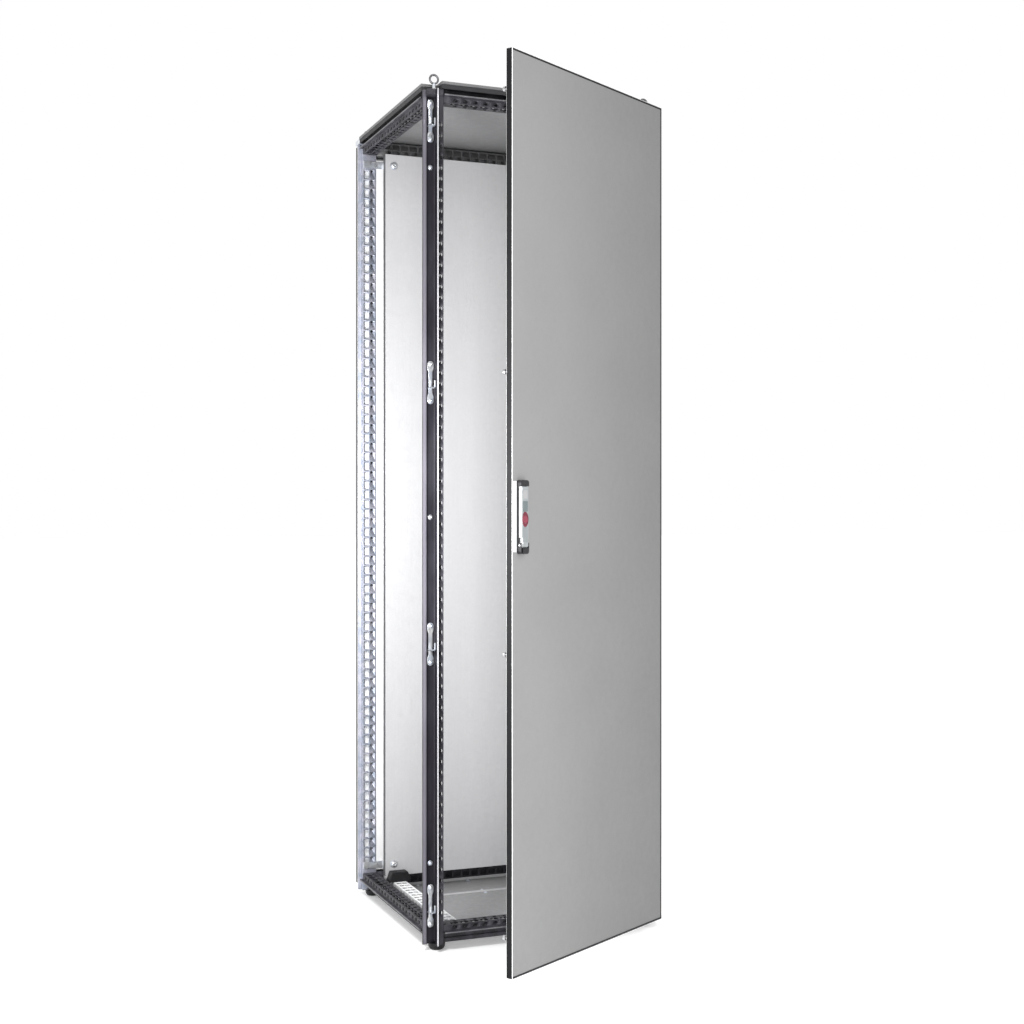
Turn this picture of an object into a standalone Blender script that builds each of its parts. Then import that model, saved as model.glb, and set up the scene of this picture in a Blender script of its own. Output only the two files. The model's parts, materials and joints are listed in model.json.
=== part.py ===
"""Free-standing industrial switchboard cabinet with one hinged door.

Frame: x to the right, y from front to rear, z up.  The origin is the centre of
the cabinet's base, on the underside of the floor plate and of the frame.
The door is modelled shut and then turned open about its hinge line.
"""
import math

import bmesh
import bpy
from mathutils import Matrix, Vector

# Overall sizes of the frame, in metres
WIDTH = 0.600
DEPTH = 0.600
HEIGHT = 2.000

# Fits
FIT = 0.0003
RUNNING = 0.0004

# Frame profile, measured inward from the outer corner
PROFILE = 0.045
NOTCH = 0.026
RIM = 0.005
FACE_STEP = 0.008
LIP_DEPTH = 0.010
POCKET = 0.030
FRAME_WALL = 0.002

# Roof, rear panel, floor
ROOF_SHEET = 0.0015
ROOF_RIM = 0.0075
POST_HEAD_INSET = 0.007
POST_HEAD = 0.013
HEAD_LAP = 0.003
REAR_SHEET = 0.0015
REAR_INSET = 0.003
REAR_LIP = 0.013
REAR_MARGIN = 0.012
REAR_TOP_MARGIN = 0.020
FLOOR_SHEET = 0.0015
FLOOR_SPLIT_Y = 0.120
FLOOR_CLIP_GAP = 0.001

# Lifting eyes
EYE_INSET = 0.028
EYE_COLLAR_RADIUS = 0.012
EYE_COLLAR = 0.004
EYE_RING_RADIUS = 0.0075
EYE_WIRE_RADIUS = 0.0025
EYE_STEM_RADIUS = 0.005
EYE_SINK = 0.00175
EYE_WIRE_SIDES = 8

# Levelling feet
FOOT_INSET = 0.038
FOOT_HEIGHT = 0.016
FOOT_TOP_RADIUS = 0.020
FOOT_BASE_RADIUS = 0.012
FOOT_ROUNDING = 0.0112
FOOT_STEPS = 4

# Mounting plate and what carries it
PLATE_SIDE_GAP = 0.0055
PLATE_BOTTOM_GAP = 0.003
PLATE_TOP_GAP = 0.0092
PLATE_SETBACK = 0.110
PLATE_SHEET = 0.0025
PLATE_FLANGE = 0.015
BRACKET_SHEET = 0.0025
BRACKET_HEIGHT = 0.044
BRACKET_EDGE = 0.008
BRACKET_INSET = 0.012
BRACKET_FOOT = 0.033
BRACKET_LEG_END = 0.010
SLIDE_WIDTH = 0.035
SLIDE_TOP = 0.037
SLIDE_GAP = 0.020
SLIDE_WALL = 0.002
SHOE_BASE = 0.062
SHOE_CROWN = 0.044
SHOE_TOP = 0.074
SHOE_DEPTH = 0.030

# Door
DOOR_OPEN = math.radians(30.5)
DOOR_MARGIN_X = 0.001
DOOR_MARGIN_Z = 0.008
DOOR_DEPTH = 0.0165
DOOR_SHEET = 0.002
GASKET_INSET = 0.0245
GASKET_WIDTH = 0.0095
TUBE_GAP = 0.005
TUBE_WIDTH = 0.020
TUBE_DEPTH = 0.022
TUBE_WALL = 0.0015
TUBE_END_GAP = 0.015

# Hinges
HINGE_INSET = 0.010
HINGE_SETBACK = 0.0075
HINGE_HALF = 0.028
KNUCKLE_HALF = 0.012
KNUCKLE_RADIUS = 0.0050
PIN_RADIUS = 0.0025
PIN_HEAD_RADIUS = 0.0040
PIN_HEAD = 0.002
LEAF = 0.0025
DOOR_LEAF = 0.002
HINGE_ARM_HALF = 0.004
HINGE_WEB_HALF = 0.0035
HINGE_CLEARANCE = 0.008
HINGE_ARM_INSET = 0.0185
HINGE_COUNT = 3

# Latches: keepers on the left post, studs on the lock rod
LATCH_COUNT = 4
LATCH_END_MARGIN = 0.088
LATCH_INSET = 0.0195
KEEPER_WIDTH = 0.015
KEEPER_HALF = 0.050
KEEPER_SHEET = 0.0025
KEEPER_FRONT = 0.010
KEEPER_SHELF = 0.014
KEEPER_LIP_TOP = 0.004
STUD_NECK_RADIUS = 0.003
STUD_HEAD_RADIUS = 0.0055
STUD_HEAD = 0.006
ROD_WIDTH = 0.006
ROD_DEPTH = 0.006
ROD_BEHIND_PITCH = 0.0005
ROD_END = 0.018
GUIDE_WALL = 0.0012
GUIDE_HALF = 0.010

# Handle
HANDLE_WIDTH = 0.028
HANDLE_INSET = 0.0296
HANDLE_BOTTOM = 0.913
HANDLE_LENGTH = 0.158
HANDLE_DEPTH = 0.0124
HANDLE_CORNER = 0.006
HANDLE_FLOOR = 0.002
HANDLE_WALL = 0.0015
HANDLE_LOW_WALL = 0.005
HANDLE_CAP = 0.013
CHEEK_HEIGHT = 0.024
LEVER_HALF_DEPTH = 0.005
LEVER_PIVOT_RISE = 0.0055
LEVER_PIN_RADIUS = 0.002
BUTTON_RISE = 0.074
BUTTON_RADIUS = 0.009
BUTTON_THICKNESS = 0.0047
BUTTON_PROUD = 0.0015
BUTTON_WELL = 0.0065

# Sector gear on the lever and rack on the lock rod
GEAR_MODULE = 0.0015
GEAR_RADIUS = 0.014
GEAR_WIDTH = 0.0046
GEAR_HUB_RADIUS = 0.0046
GEAR_BACKLASH = 0.0004
DEDENDUM = 1.25
FLANK_START = 0.2
FLANK_MIDDLE = 0.5
HUB_BLEND = math.radians(25.0)
HUB_STEPS = 10
LEVER_ROUND_STEPS = 8
BORE_SIDES = 12
CORNER_STEPS = 3
PRESSURE_ANGLE = math.radians(20.0)
LEVER_LIFT = math.radians(50.0)
RACK_TEETH = 9

ROUND = 16
CREASE_ANGLE = math.radians(35.0)

# Derived planes
HALF_W = WIDTH / 2
HALF_D = DEPTH / 2
FRAME_TOP = HEIGHT - ROOF_SHEET - FIT
ROOF_EDGE = HEIGHT - ROOF_RIM
POST_TOP = FRAME_TOP - POST_HEAD + HEAD_LAP
EYE_STEM = HEIGHT - POST_TOP - FIT
DOOR_BACK = -HALF_D - FIT
DOOR_FACE = DOOR_BACK - DOOR_DEPTH
DOOR_SKIN_BACK = DOOR_FACE + DOOR_SHEET
DOOR_BOTTOM = DOOR_MARGIN_Z
DOOR_TOP = HEIGHT - DOOR_MARGIN_Z
HINGE_X = HALF_W - HINGE_INSET
HINGE_Y = -HALF_D - HINGE_SETBACK
LATCH_X = -HALF_W + LATCH_INSET
HANDLE_X = -HALF_W + HANDLE_INSET
HANDLE_TOP = HANDLE_BOTTOM + HANDLE_LENGTH
HANDLE_BACK = DOOR_FACE - FIT
HANDLE_FRONT = HANDLE_BACK - HANDLE_DEPTH
HANDLE_FLOOR_Y = HANDLE_BACK - HANDLE_FLOOR
PIVOT_Y = HANDLE_FLOOR_Y - RUNNING - LEVER_HALF_DEPTH
PIVOT_Z = HANDLE_BOTTOM + HANDLE_CAP + LEVER_PIVOT_RISE
PITCH_Y = PIVOT_Y + GEAR_RADIUS
ROD_FRONT = PITCH_Y + ROD_BEHIND_PITCH
ROD_BACK = ROD_FRONT + ROD_DEPTH
BUTTON_Z = HANDLE_BOTTOM + BUTTON_RISE
PLATE_HALF = HALF_W - PROFILE - PLATE_SIDE_GAP
PLATE_FRONT_Y = HALF_D - PLATE_SETBACK
PLATE_BOTTOM = PROFILE + PLATE_BOTTOM_GAP
PLATE_TOP = FRAME_TOP - PROFILE - PLATE_TOP_GAP
SLIDE_OUTER = HALF_W - PROFILE - SLIDE_GAP

# Colours: red, green, blue, roughness, metallic
FINISHES = {
    "frame_paint": (0.060, 0.060, 0.066, 0.45, 0.3),
    "zinc": (0.62, 0.64, 0.68, 0.35, 1.0),
    "galvanised": (0.55, 0.56, 0.58, 0.45, 0.9),
    "door_paint": (0.38, 0.38, 0.38, 0.50, 0.0),
    "roof_paint": (0.13, 0.13, 0.135, 0.50, 0.0),
    "panel_paint": (0.62, 0.62, 0.60, 0.50, 0.0),
    "gasket_foam": (0.030, 0.030, 0.032, 0.85, 0.0),
    "black_plastic": (0.020, 0.020, 0.022, 0.40, 0.0),
    "handle_grey": (0.62, 0.64, 0.66, 0.40, 0.0),
    "button_red": (0.45, 0.05, 0.07, 0.40, 0.0),
    "steel": (0.50, 0.50, 0.51, 0.35, 1.0),
}


def clear_scene():
    for item in list(bpy.data.objects):
        bpy.data.objects.remove(item, do_unlink=True)


def finish(name):
    """Material of one finish, made once."""
    found = bpy.data.materials.get(name)
    if found:
        return found
    red, green, blue, roughness, metallic = FINISHES[name]
    material = bpy.data.materials.new(name)
    material.use_nodes = True
    shader = material.node_tree.nodes["Principled BSDF"]
    shader.inputs["Base Color"].default_value = (red, green, blue, 1.0)
    shader.inputs["Roughness"].default_value = roughness
    shader.inputs["Metallic"].default_value = metallic
    return material


def mesh_from(bm, name):
    """Mesh of a closed shape, faces pointing out, round faces smooth."""
    bmesh.ops.recalc_face_normals(bm, faces=bm.faces)
    mesh = bpy.data.meshes.new(name)
    bm.to_mesh(mesh)
    bm.free()
    mesh.shade_smooth()
    mesh.set_sharp_from_angle(angle=CREASE_ANGLE)
    return mesh


def place(name, mesh, material, location=(0.0, 0.0, 0.0), parent=None):
    """Object of one sub-part; its mesh gets the material of its own finish."""
    if not mesh.materials:
        mesh.materials.append(finish(material))
    item = bpy.data.objects.new(name, mesh)
    bpy.context.scene.collection.objects.link(item)
    item.location = location
    item.parent = parent
    return item


def pivot(name, location, rotation=(0.0, 0.0, 0.0), parent=None):
    """Empty on a joint's axis; what it carries is its child."""
    empty = bpy.data.objects.new(name, None)
    bpy.context.scene.collection.objects.link(empty)
    empty.location = location
    empty.rotation_euler = rotation
    empty.parent = parent
    return empty


def box_mesh(low, high, bevel=0.0, name="box"):
    """Rectangular block between two corners, its edges bevelled if asked."""
    low = Vector(low)
    high = Vector(high)
    bm = bmesh.new()
    bmesh.ops.create_cube(bm, size=1.0)
    bmesh.ops.scale(bm, vec=high - low, verts=bm.verts)
    bmesh.ops.translate(bm, vec=(low + high) / 2, verts=bm.verts)
    if bevel:
        bmesh.ops.bevel(bm, geom=bm.edges[:], offset=bevel, segments=1, affect="EDGES")
    return mesh_from(bm, name)


def pan_mesh(low, high, wall, open_towards, sheet=None, name="pan"):
    """Folded sheet pan: a block hollowed out from the side it is open towards."""
    low = Vector(low)
    high = Vector(high)
    axis = Vector(open_towards)
    bm = bmesh.new()
    bmesh.ops.create_cube(bm, size=1.0)
    bmesh.ops.scale(bm, vec=high - low, verts=bm.verts)
    bmesh.ops.translate(bm, vec=(low + high) / 2, verts=bm.verts)
    mouth = max(bm.faces, key=lambda face: face.calc_center_median().dot(axis))
    bmesh.ops.inset_region(bm, faces=[mouth], thickness=wall, use_even_offset=True)
    depth = abs((high - low).dot(axis)) - (sheet or wall)
    bmesh.ops.translate(bm, vec=-axis * depth, verts=mouth.verts)
    return mesh_from(bm, name)


def prism_mesh(loops, start, end, to_world, name="prism"):
    """Flat outline, with the loops after the first as holes, drawn out to a solid.

    to_world turns (u, v, distance along the prism) into x, y, z.
    """
    bm = bmesh.new()
    edges = []
    for loop in loops:
        ring = [bm.verts.new(to_world(u, v, start)) for u, v in loop]
        for index, vert in enumerate(ring):
            edges.append(bm.edges.new((vert, ring[(index + 1) % len(ring)])))
    if len(loops) == 1:
        bmesh.ops.contextual_create(bm, geom=edges)
    else:
        bmesh.ops.triangle_fill(bm, use_beauty=True, use_dissolve=False, edges=edges)
    drawn = bmesh.ops.extrude_face_region(bm, geom=bm.faces[:])
    moved = [item for item in drawn["geom"] if isinstance(item, bmesh.types.BMVert)]
    shift = Vector(to_world(0.0, 0.0, end)) - Vector(to_world(0.0, 0.0, start))
    bmesh.ops.translate(bm, vec=shift, verts=moved)
    return mesh_from(bm, name)


def turned_mesh(profile, axis=(0.0, 0.0, 1.0), centre=(0.0, 0.0, 0.0), name="turned"):
    """Solid turned about an axis from (radius, height) points, end to end."""
    bm = bmesh.new()
    verts = [bm.verts.new((radius, 0.0, height)) for radius, height in profile]
    edges = [bm.edges.new(pair) for pair in zip(verts, verts[1:])]
    bmesh.ops.spin(
        bm, geom=verts + edges, cent=(0, 0, 0), axis=(0, 0, 1), dvec=(0, 0, 0),
        angle=math.tau, steps=ROUND, use_merge=True,
    )
    bmesh.ops.remove_doubles(bm, verts=bm.verts, dist=1e-6)
    turn = Vector((0, 0, 1)).rotation_difference(Vector(axis)).to_matrix().to_4x4()
    bmesh.ops.transform(bm, matrix=Matrix.Translation(centre) @ turn, verts=bm.verts)
    return mesh_from(bm, name)


def rod_mesh(radius, start, end, axis=(0.0, 0.0, 1.0), centre=(0.0, 0.0, 0.0), name="rod"):
    """Plain round bar along an axis."""
    return turned_mesh([(0.0, start), (radius, start), (radius, end), (0.0, end)], axis, centre, name)


def circle(radius, centre=(0.0, 0.0), count=ROUND):
    turns = [math.tau * index / count for index in range(count)]
    return [(centre[0] + radius * math.cos(t), centre[1] + radius * math.sin(t)) for t in turns]


def rectangle(low_u, low_v, high_u, high_v):
    return [(low_u, low_v), (high_u, low_v), (high_u, high_v), (low_u, high_v)]


def combined(first, others, operation):
    """Mesh left after Boolean steps between one closed mesh and others."""
    scene = bpy.context.scene.collection
    base = bpy.data.objects.new("boolean_base", first)
    scene.objects.link(base)
    tools = []
    for mesh in others:
        tool = bpy.data.objects.new("boolean_tool", mesh)
        scene.objects.link(tool)
        tools.append(tool)
        step = base.modifiers.new("step", "BOOLEAN")
        step.operation = operation
        step.solver = "EXACT"
        step.object = tool
    bpy.context.view_layer.update()
    graph = bpy.context.evaluated_depsgraph_get()
    mesh = bpy.data.meshes.new_from_object(base.evaluated_get(graph))
    for item in [base] + tools:
        bpy.data.objects.remove(item, do_unlink=True)
    mesh.shade_smooth()
    mesh.set_sharp_from_angle(angle=CREASE_ANGLE)
    return mesh


def fuse(first, *others):
    return combined(first, others, "UNION")


def cut(first, *others):
    return combined(first, others, "DIFFERENCE")


def spaced(low, high, count):
    return [low + (high - low) * index / (count - 1) for index in range(count)]


# ---------------------------------------------------------------- frame

def profile_loops():
    """Outer line and inner hollow of the folded frame profile."""
    far = NOTCH + RIM
    outer = [
        (PROFILE, PROFILE), (PROFILE, FACE_STEP), (far, FACE_STEP), (far, 0.0),
        (NOTCH, 0.0), (NOTCH, LIP_DEPTH), (POCKET, LIP_DEPTH), (POCKET, POCKET),
        (LIP_DEPTH, POCKET), (LIP_DEPTH, NOTCH), (0.0, NOTCH), (0.0, far),
        (FACE_STEP, far), (FACE_STEP, PROFILE),
    ]
    near = FACE_STEP + FRAME_WALL
    inner = POCKET + FRAME_WALL
    end = PROFILE - FRAME_WALL
    hollow = [(inner, near), (end, near), (end, end), (near, end), (near, inner), (inner, inner)]
    return [outer, hollow]


def posts():
    """Four uprights, each with a solid head that takes its lifting eye."""
    for rear, side_y in (("front", -1), ("rear", 1)):
        for side, side_x in (("left", -1), ("right", 1)):
            def corner(a, b, z, sx=side_x, sy=side_y):
                return (sx * (HALF_W - a), sy * (HALF_D - b), z)
            body = prism_mesh(profile_loops(), 0.0, POST_TOP, corner)
            outline = rectangle(POST_HEAD_INSET, POST_HEAD_INSET, PROFILE, PROFILE)
            bore = circle(EYE_STEM_RADIUS + FIT, (EYE_INSET, EYE_INSET))
            head = prism_mesh([outline, bore], FRAME_TOP - POST_HEAD, FRAME_TOP, corner)
            place(f"post_{rear}_{side}", fuse(body, head), "frame_paint")


def rails():
    """Rails between the posts, at the roof and at the floor."""
    span_x = HALF_W - PROFILE - FIT
    span_y = HALF_D - PROFILE - FIT
    levels = (("top", FRAME_TOP, -1), ("bottom", 0.0, 1))
    for level, datum, up in levels:
        for name, sign in (("front", -1), ("rear", 1)):
            def across(a, b, x, z0=datum, sz=up, sy=sign):
                return (x, sy * (HALF_D - b), z0 + sz * a)
            mesh = prism_mesh(profile_loops(), -span_x, span_x, across)
            place(f"rail_{level}_{name}", mesh, "frame_paint")
        for name, sign in (("left", -1), ("right", 1)):
            def along(a, b, y, z0=datum, sz=up, sx=sign):
                return (sx * (HALF_W - b), y, z0 + sz * a)
            mesh = prism_mesh(profile_loops(), -span_y, span_y, along)
            place(f"rail_{level}_{name}", mesh, "frame_paint")


def roof():
    """Shallow pan laid over the frame, bored for the lifting eyes."""
    low = (-HALF_W, -HALF_D, ROOF_EDGE)
    high = (HALF_W, HALF_D, HEIGHT)
    pan = pan_mesh(low, high, ROOF_SHEET, (0, 0, -1))
    bores = []
    for sx in (-1, 1):
        for sy in (-1, 1):
            centre = (sx * (HALF_W - EYE_INSET), sy * (HALF_D - EYE_INSET), 0.0)
            bores.append(rod_mesh(EYE_STEM_RADIUS + FIT, ROOF_EDGE, HEIGHT + ROOF_RIM, centre=centre))
    place("roof_panel", cut(pan, *bores), "roof_paint")


def lifting_eyes():
    """Eye bolts: ring, collar on the roof and stem in the post's head."""
    collar = turned_mesh([
        (0.0, -EYE_STEM), (EYE_STEM_RADIUS, -EYE_STEM), (EYE_STEM_RADIUS, FIT),
        (EYE_COLLAR_RADIUS, FIT), (EYE_COLLAR_RADIUS, EYE_COLLAR), (0.0, EYE_COLLAR),
    ])
    bm = bmesh.new()
    ring = [bm.verts.new((EYE_RING_RADIUS + u, 0.0, v)) for u, v in circle(EYE_WIRE_RADIUS, count=EYE_WIRE_SIDES)]
    edges = [bm.edges.new((ring[i], ring[(i + 1) % len(ring)])) for i in range(len(ring))]
    bmesh.ops.spin(
        bm, geom=ring + edges, cent=(0, 0, 0), axis=(0, 0, 1), dvec=(0, 0, 0),
        angle=math.tau, steps=ROUND, use_merge=True,
    )
    bmesh.ops.remove_doubles(bm, verts=bm.verts, dist=1e-6)
    rise = EYE_COLLAR + EYE_RING_RADIUS + EYE_WIRE_RADIUS - EYE_SINK
    stand = Matrix.Translation((0, 0, rise)) @ Matrix.Rotation(math.pi / 2, 4, "X")
    bmesh.ops.transform(bm, matrix=stand, verts=bm.verts)
    eye = fuse(collar, mesh_from(bm, "ring"))
    for rear, sy in (("front", -1), ("rear", 1)):
        for side, sx in (("left", -1), ("right", 1)):
            spot = (sx * (HALF_W - EYE_INSET), sy * (HALF_D - EYE_INSET), HEIGHT)
            place(f"lifting_eye_{rear}_{side}", eye, "zinc", spot)


def feet():
    """Rounded levelling feet under the posts."""
    profile = [(0.0, -FOOT_HEIGHT)]
    for index in range(FOOT_STEPS + 1):
        turn = math.pi / 2 * index / FOOT_STEPS
        radius = FOOT_BASE_RADIUS + (FOOT_TOP_RADIUS - FOOT_BASE_RADIUS) * math.sin(turn)
        height = -FOOT_HEIGHT + FOOT_ROUNDING * (1 - math.cos(turn))
        profile.append((radius, height))
    profile += [(FOOT_TOP_RADIUS, -FIT), (0.0, -FIT)]
    foot = turned_mesh(profile)
    for rear, sy in (("front", -1), ("rear", 1)):
        for side, sx in (("left", -1), ("right", 1)):
            spot = (sx * (HALF_W - FOOT_INSET), sy * (HALF_D - FOOT_INSET), 0.0)
            place(f"foot_{rear}_{side}", foot, "black_plastic", spot)


def floor_plates():
    """Two gland plates between the bottom rails, corners clipped clear of the feet."""
    edge_x = HALF_W - PROFILE - FIT
    edge_y = HALF_D - PROFILE - FIT
    past_foot = PROFILE + FIT - FOOT_INSET
    clip = math.sqrt(2.0) * (FOOT_TOP_RADIUS + FLOOR_CLIP_GAP) - 2 * past_foot
    halves = (("front", -1, FLOOR_SPLIT_Y - FIT / 2), ("rear", 1, FLOOR_SPLIT_Y + FIT / 2))
    for name, side, split_y in halves:
        outer_y = side * edge_y
        inner_y = side * (edge_y - clip)
        outline = [
            (-edge_x, split_y), (-edge_x, inner_y), (clip - edge_x, outer_y),
            (edge_x - clip, outer_y), (edge_x, inner_y), (edge_x, split_y),
        ]

        def plan(x, y, z):
            return (x, y, z)
        mesh = prism_mesh([outline], 0.0, FLOOR_SHEET, plan)
        place(f"floor_plate_{name}", mesh, "galvanised")


def rear_panel():
    """Folded sheet over the back, its side lips standing in the posts' notches."""
    edge = HALF_W - REAR_INSET
    t = REAR_SHEET
    inside = HALF_D + FIT
    outline = [
        (-edge, inside + t), (-edge, inside + t - REAR_LIP), (t - edge, inside + t - REAR_LIP),
        (t - edge, inside), (edge - t, inside), (edge - t, inside + t - REAR_LIP),
        (edge, inside + t - REAR_LIP), (edge, inside + t),
    ]

    def plan(x, y, z):
        return (x, y, z)
    mesh = prism_mesh([outline], REAR_MARGIN, HEIGHT - REAR_TOP_MARGIN, plan)
    place("rear_panel", mesh, "panel_paint")


# ---------------------------------------------------------------- inside

def mounting_plate():
    """Galvanised plate with its edges folded to the rear."""
    low = (-PLATE_HALF, PLATE_FRONT_Y, PLATE_BOTTOM)
    high = (PLATE_HALF, PLATE_FRONT_Y + PLATE_SHEET + PLATE_FLANGE, PLATE_TOP)
    place("mounting_plate", pan_mesh(low, high, PLATE_SHEET, (0, 1, 0)), "galvanised")


def plate_brackets():
    """Z-shaped brackets from the rear posts to the back of the mounting plate."""
    post_face = HALF_D - PROFILE - FIT
    plate_back = PLATE_FRONT_Y + PLATE_SHEET + FIT
    web = PLATE_HALF - BRACKET_INSET
    inner = web - BRACKET_FOOT
    end = HALF_W - BRACKET_LEG_END
    t = BRACKET_SHEET
    outline = [
        (end, post_face), (web - t, post_face), (web - t, plate_back + t), (inner, plate_back + t),
        (inner, plate_back), (web, plate_back), (web, post_face - t), (end, post_face - t),
    ]
    heights = (
        ("lower", PLATE_BOTTOM + BRACKET_EDGE), ("upper", PLATE_TOP - BRACKET_EDGE - BRACKET_HEIGHT))
    for level, low in heights:
        for side, sign in (("left", -1), ("right", 1)):
            def flat(u, v, z, sx=sign):
                return (sx * u, v, z)
            mesh = prism_mesh([outline], low, low + BRACKET_HEIGHT, flat)
            place(f"plate_bracket_{level}_{side}", mesh, "zinc")


def floor_slides():
    """Inverted channels along the floor, which the mounting plate slides in on."""
    base = FLOOR_SHEET + FIT
    outer = SLIDE_OUTER
    inner = outer - SLIDE_WIDTH
    w = SLIDE_WALL
    outline = [
        (inner, base), (inner, SLIDE_TOP), (outer, SLIDE_TOP), (outer, base),
        (outer - w, base), (outer - w, SLIDE_TOP - w), (inner + w, SLIDE_TOP - w), (inner + w, base),
    ]
    reach = HALF_D - PROFILE - FIT
    for side, sign in (("left", -1), ("right", 1)):
        def lengthwise(u, v, y, sx=sign):
            return (sx * u, y, v)
        mesh = prism_mesh([outline], -reach, reach, lengthwise)
        place(f"floor_slide_{side}", mesh, "zinc")


def plate_shoes():
    """Plastic shoes that stand on the slides against the plate's foot."""
    back = PLATE_FRONT_Y - FIT
    base = SLIDE_TOP + FIT
    centre = SLIDE_OUTER - SLIDE_WIDTH / 2
    outline = [
        (centre - SHOE_BASE / 2, base), (centre + SHOE_BASE / 2, base),
        (centre + SHOE_CROWN / 2, SHOE_TOP), (centre - SHOE_CROWN / 2, SHOE_TOP),
    ]
    for side, sign in (("left", -1), ("right", 1)):
        def upright(u, v, y, sx=sign):
            return (sx * u, y, v)
        mesh = prism_mesh([outline], back - SHOE_DEPTH, back, upright)
        place(f"plate_shoe_{side}", mesh, "black_plastic")


# ---------------------------------------------------------------- latches

def latch_heights():
    return spaced(LATCH_END_MARGIN, HEIGHT - LATCH_END_MARGIN, LATCH_COUNT)


def keepers():
    """Keepers in the left post's pocket: a shelf and a slotted front lip."""
    t = KEEPER_SHEET
    back = POCKET - FIT
    low_x = -KEEPER_WIDTH / 2
    outline = [
        (back, -KEEPER_HALF), (back, KEEPER_HALF), (back - t, KEEPER_HALF), (back - t, t - KEEPER_SHELF),
        (KEEPER_FRONT + t, t - KEEPER_SHELF), (KEEPER_FRONT + t, KEEPER_LIP_TOP),
        (KEEPER_FRONT, KEEPER_LIP_TOP), (KEEPER_FRONT, -KEEPER_SHELF), (back - t, -KEEPER_SHELF),
        (back - t, -KEEPER_HALF),
    ]
    def side_view(b, z, x):
        return (x, -HALF_D + b, z)
    body = prism_mesh([outline], low_x, -low_x, side_view)
    slot = STUD_NECK_RADIUS + RUNNING
    floor = -STUD_NECK_RADIUS - 4 * RUNNING
    tool = box_mesh(
        (-slot, -HALF_D + KEEPER_FRONT - t, floor), (slot, -HALF_D + KEEPER_FRONT + 2 * t, KEEPER_HALF / 2))
    keeper = cut(body, tool)
    for index, height in enumerate(latch_heights(), start=1):
        place(f"latch_keeper_{index}", keeper, "zinc", (LATCH_X, 0.0, height))


def rack_line():
    """Front line of the rack, rising: tooth gap centred on the lever's pivot."""
    pitch = math.pi * GEAR_MODULE
    tip = PITCH_Y - GEAR_MODULE
    root = PITCH_Y + DEDENDUM * GEAR_MODULE
    lean = math.tan(PRESSURE_ANGLE)
    half_tip = pitch / 4 - GEAR_MODULE * lean - GEAR_BACKLASH / 4
    half_root = pitch / 4 + DEDENDUM * GEAR_MODULE * lean - GEAR_BACKLASH / 4
    line = []
    for index in range(RACK_TEETH):
        middle = PIVOT_Z + pitch * (index - RACK_TEETH // 2 - 0.5)
        line += [
            (root, middle - half_root), (tip, middle - half_tip),
            (tip, middle + half_tip), (root, middle + half_root),
        ]
    return line


def lock_rod(parent, at):
    """Flat rod along the door's free edge, with a rack and four headed studs."""
    low = latch_heights()[0] - ROD_END
    high = latch_heights()[-1] + ROD_END
    rack = rack_line()
    outline = [(ROD_BACK, low), (ROD_BACK, high), (ROD_FRONT, high), (ROD_FRONT, rack[-1][1])]
    outline += [(y, z) for y, z in reversed(rack)]
    outline += [(ROD_FRONT, rack[0][1]), (ROD_FRONT, low)]
    def side_view(y, z, x):
        return at(LATCH_X + x, y, z)
    body = prism_mesh([outline], -ROD_WIDTH / 2, ROD_WIDTH / 2, side_view)
    neck_end = KEEPER_FRONT + KEEPER_SHEET + 4 * RUNNING - HALF_D - ROD_BACK
    overlap = ROD_DEPTH / 2
    studs = []
    for height in latch_heights():
        profile = [
            (0.0, -overlap), (STUD_NECK_RADIUS - RUNNING / 2, -overlap),
            (STUD_NECK_RADIUS - RUNNING / 2, neck_end), (STUD_HEAD_RADIUS, neck_end),
            (STUD_HEAD_RADIUS, neck_end + STUD_HEAD), (0.0, neck_end + STUD_HEAD),
        ]
        studs.append(turned_mesh(profile, (0, 1, 0), at(LATCH_X, ROD_BACK, height)))
    place("lock_rod", fuse(body, *studs), "steel", parent=parent)


def rod_guides(parent, at):
    """Closed guides that hold the rod to the door, between the latches."""
    heights = latch_heights()
    half_rod = ROD_WIDTH / 2 + RUNNING
    tunnel = rectangle(LATCH_X - half_rod, ROD_FRONT - RUNNING, LATCH_X + half_rod, ROD_BACK + RUNNING)
    edge = half_rod + GUIDE_WALL
    outline = rectangle(
        LATCH_X - edge, DOOR_SKIN_BACK + FIT, LATCH_X + edge, ROD_BACK + RUNNING + GUIDE_WALL)
    for index, (first, second) in enumerate(((0, 1), (2, 3)), start=1):
        middle = (heights[first] + heights[second]) / 2
        mesh = prism_mesh([outline, tunnel], middle - GUIDE_HALF, middle + GUIDE_HALF, at)
        place(f"rod_guide_{index}", mesh, "black_plastic", parent=parent)


# ---------------------------------------------------------------- door

def hinge_heights():
    return spaced(LATCH_END_MARGIN, HEIGHT - LATCH_END_MARGIN, HINGE_COUNT)


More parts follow.
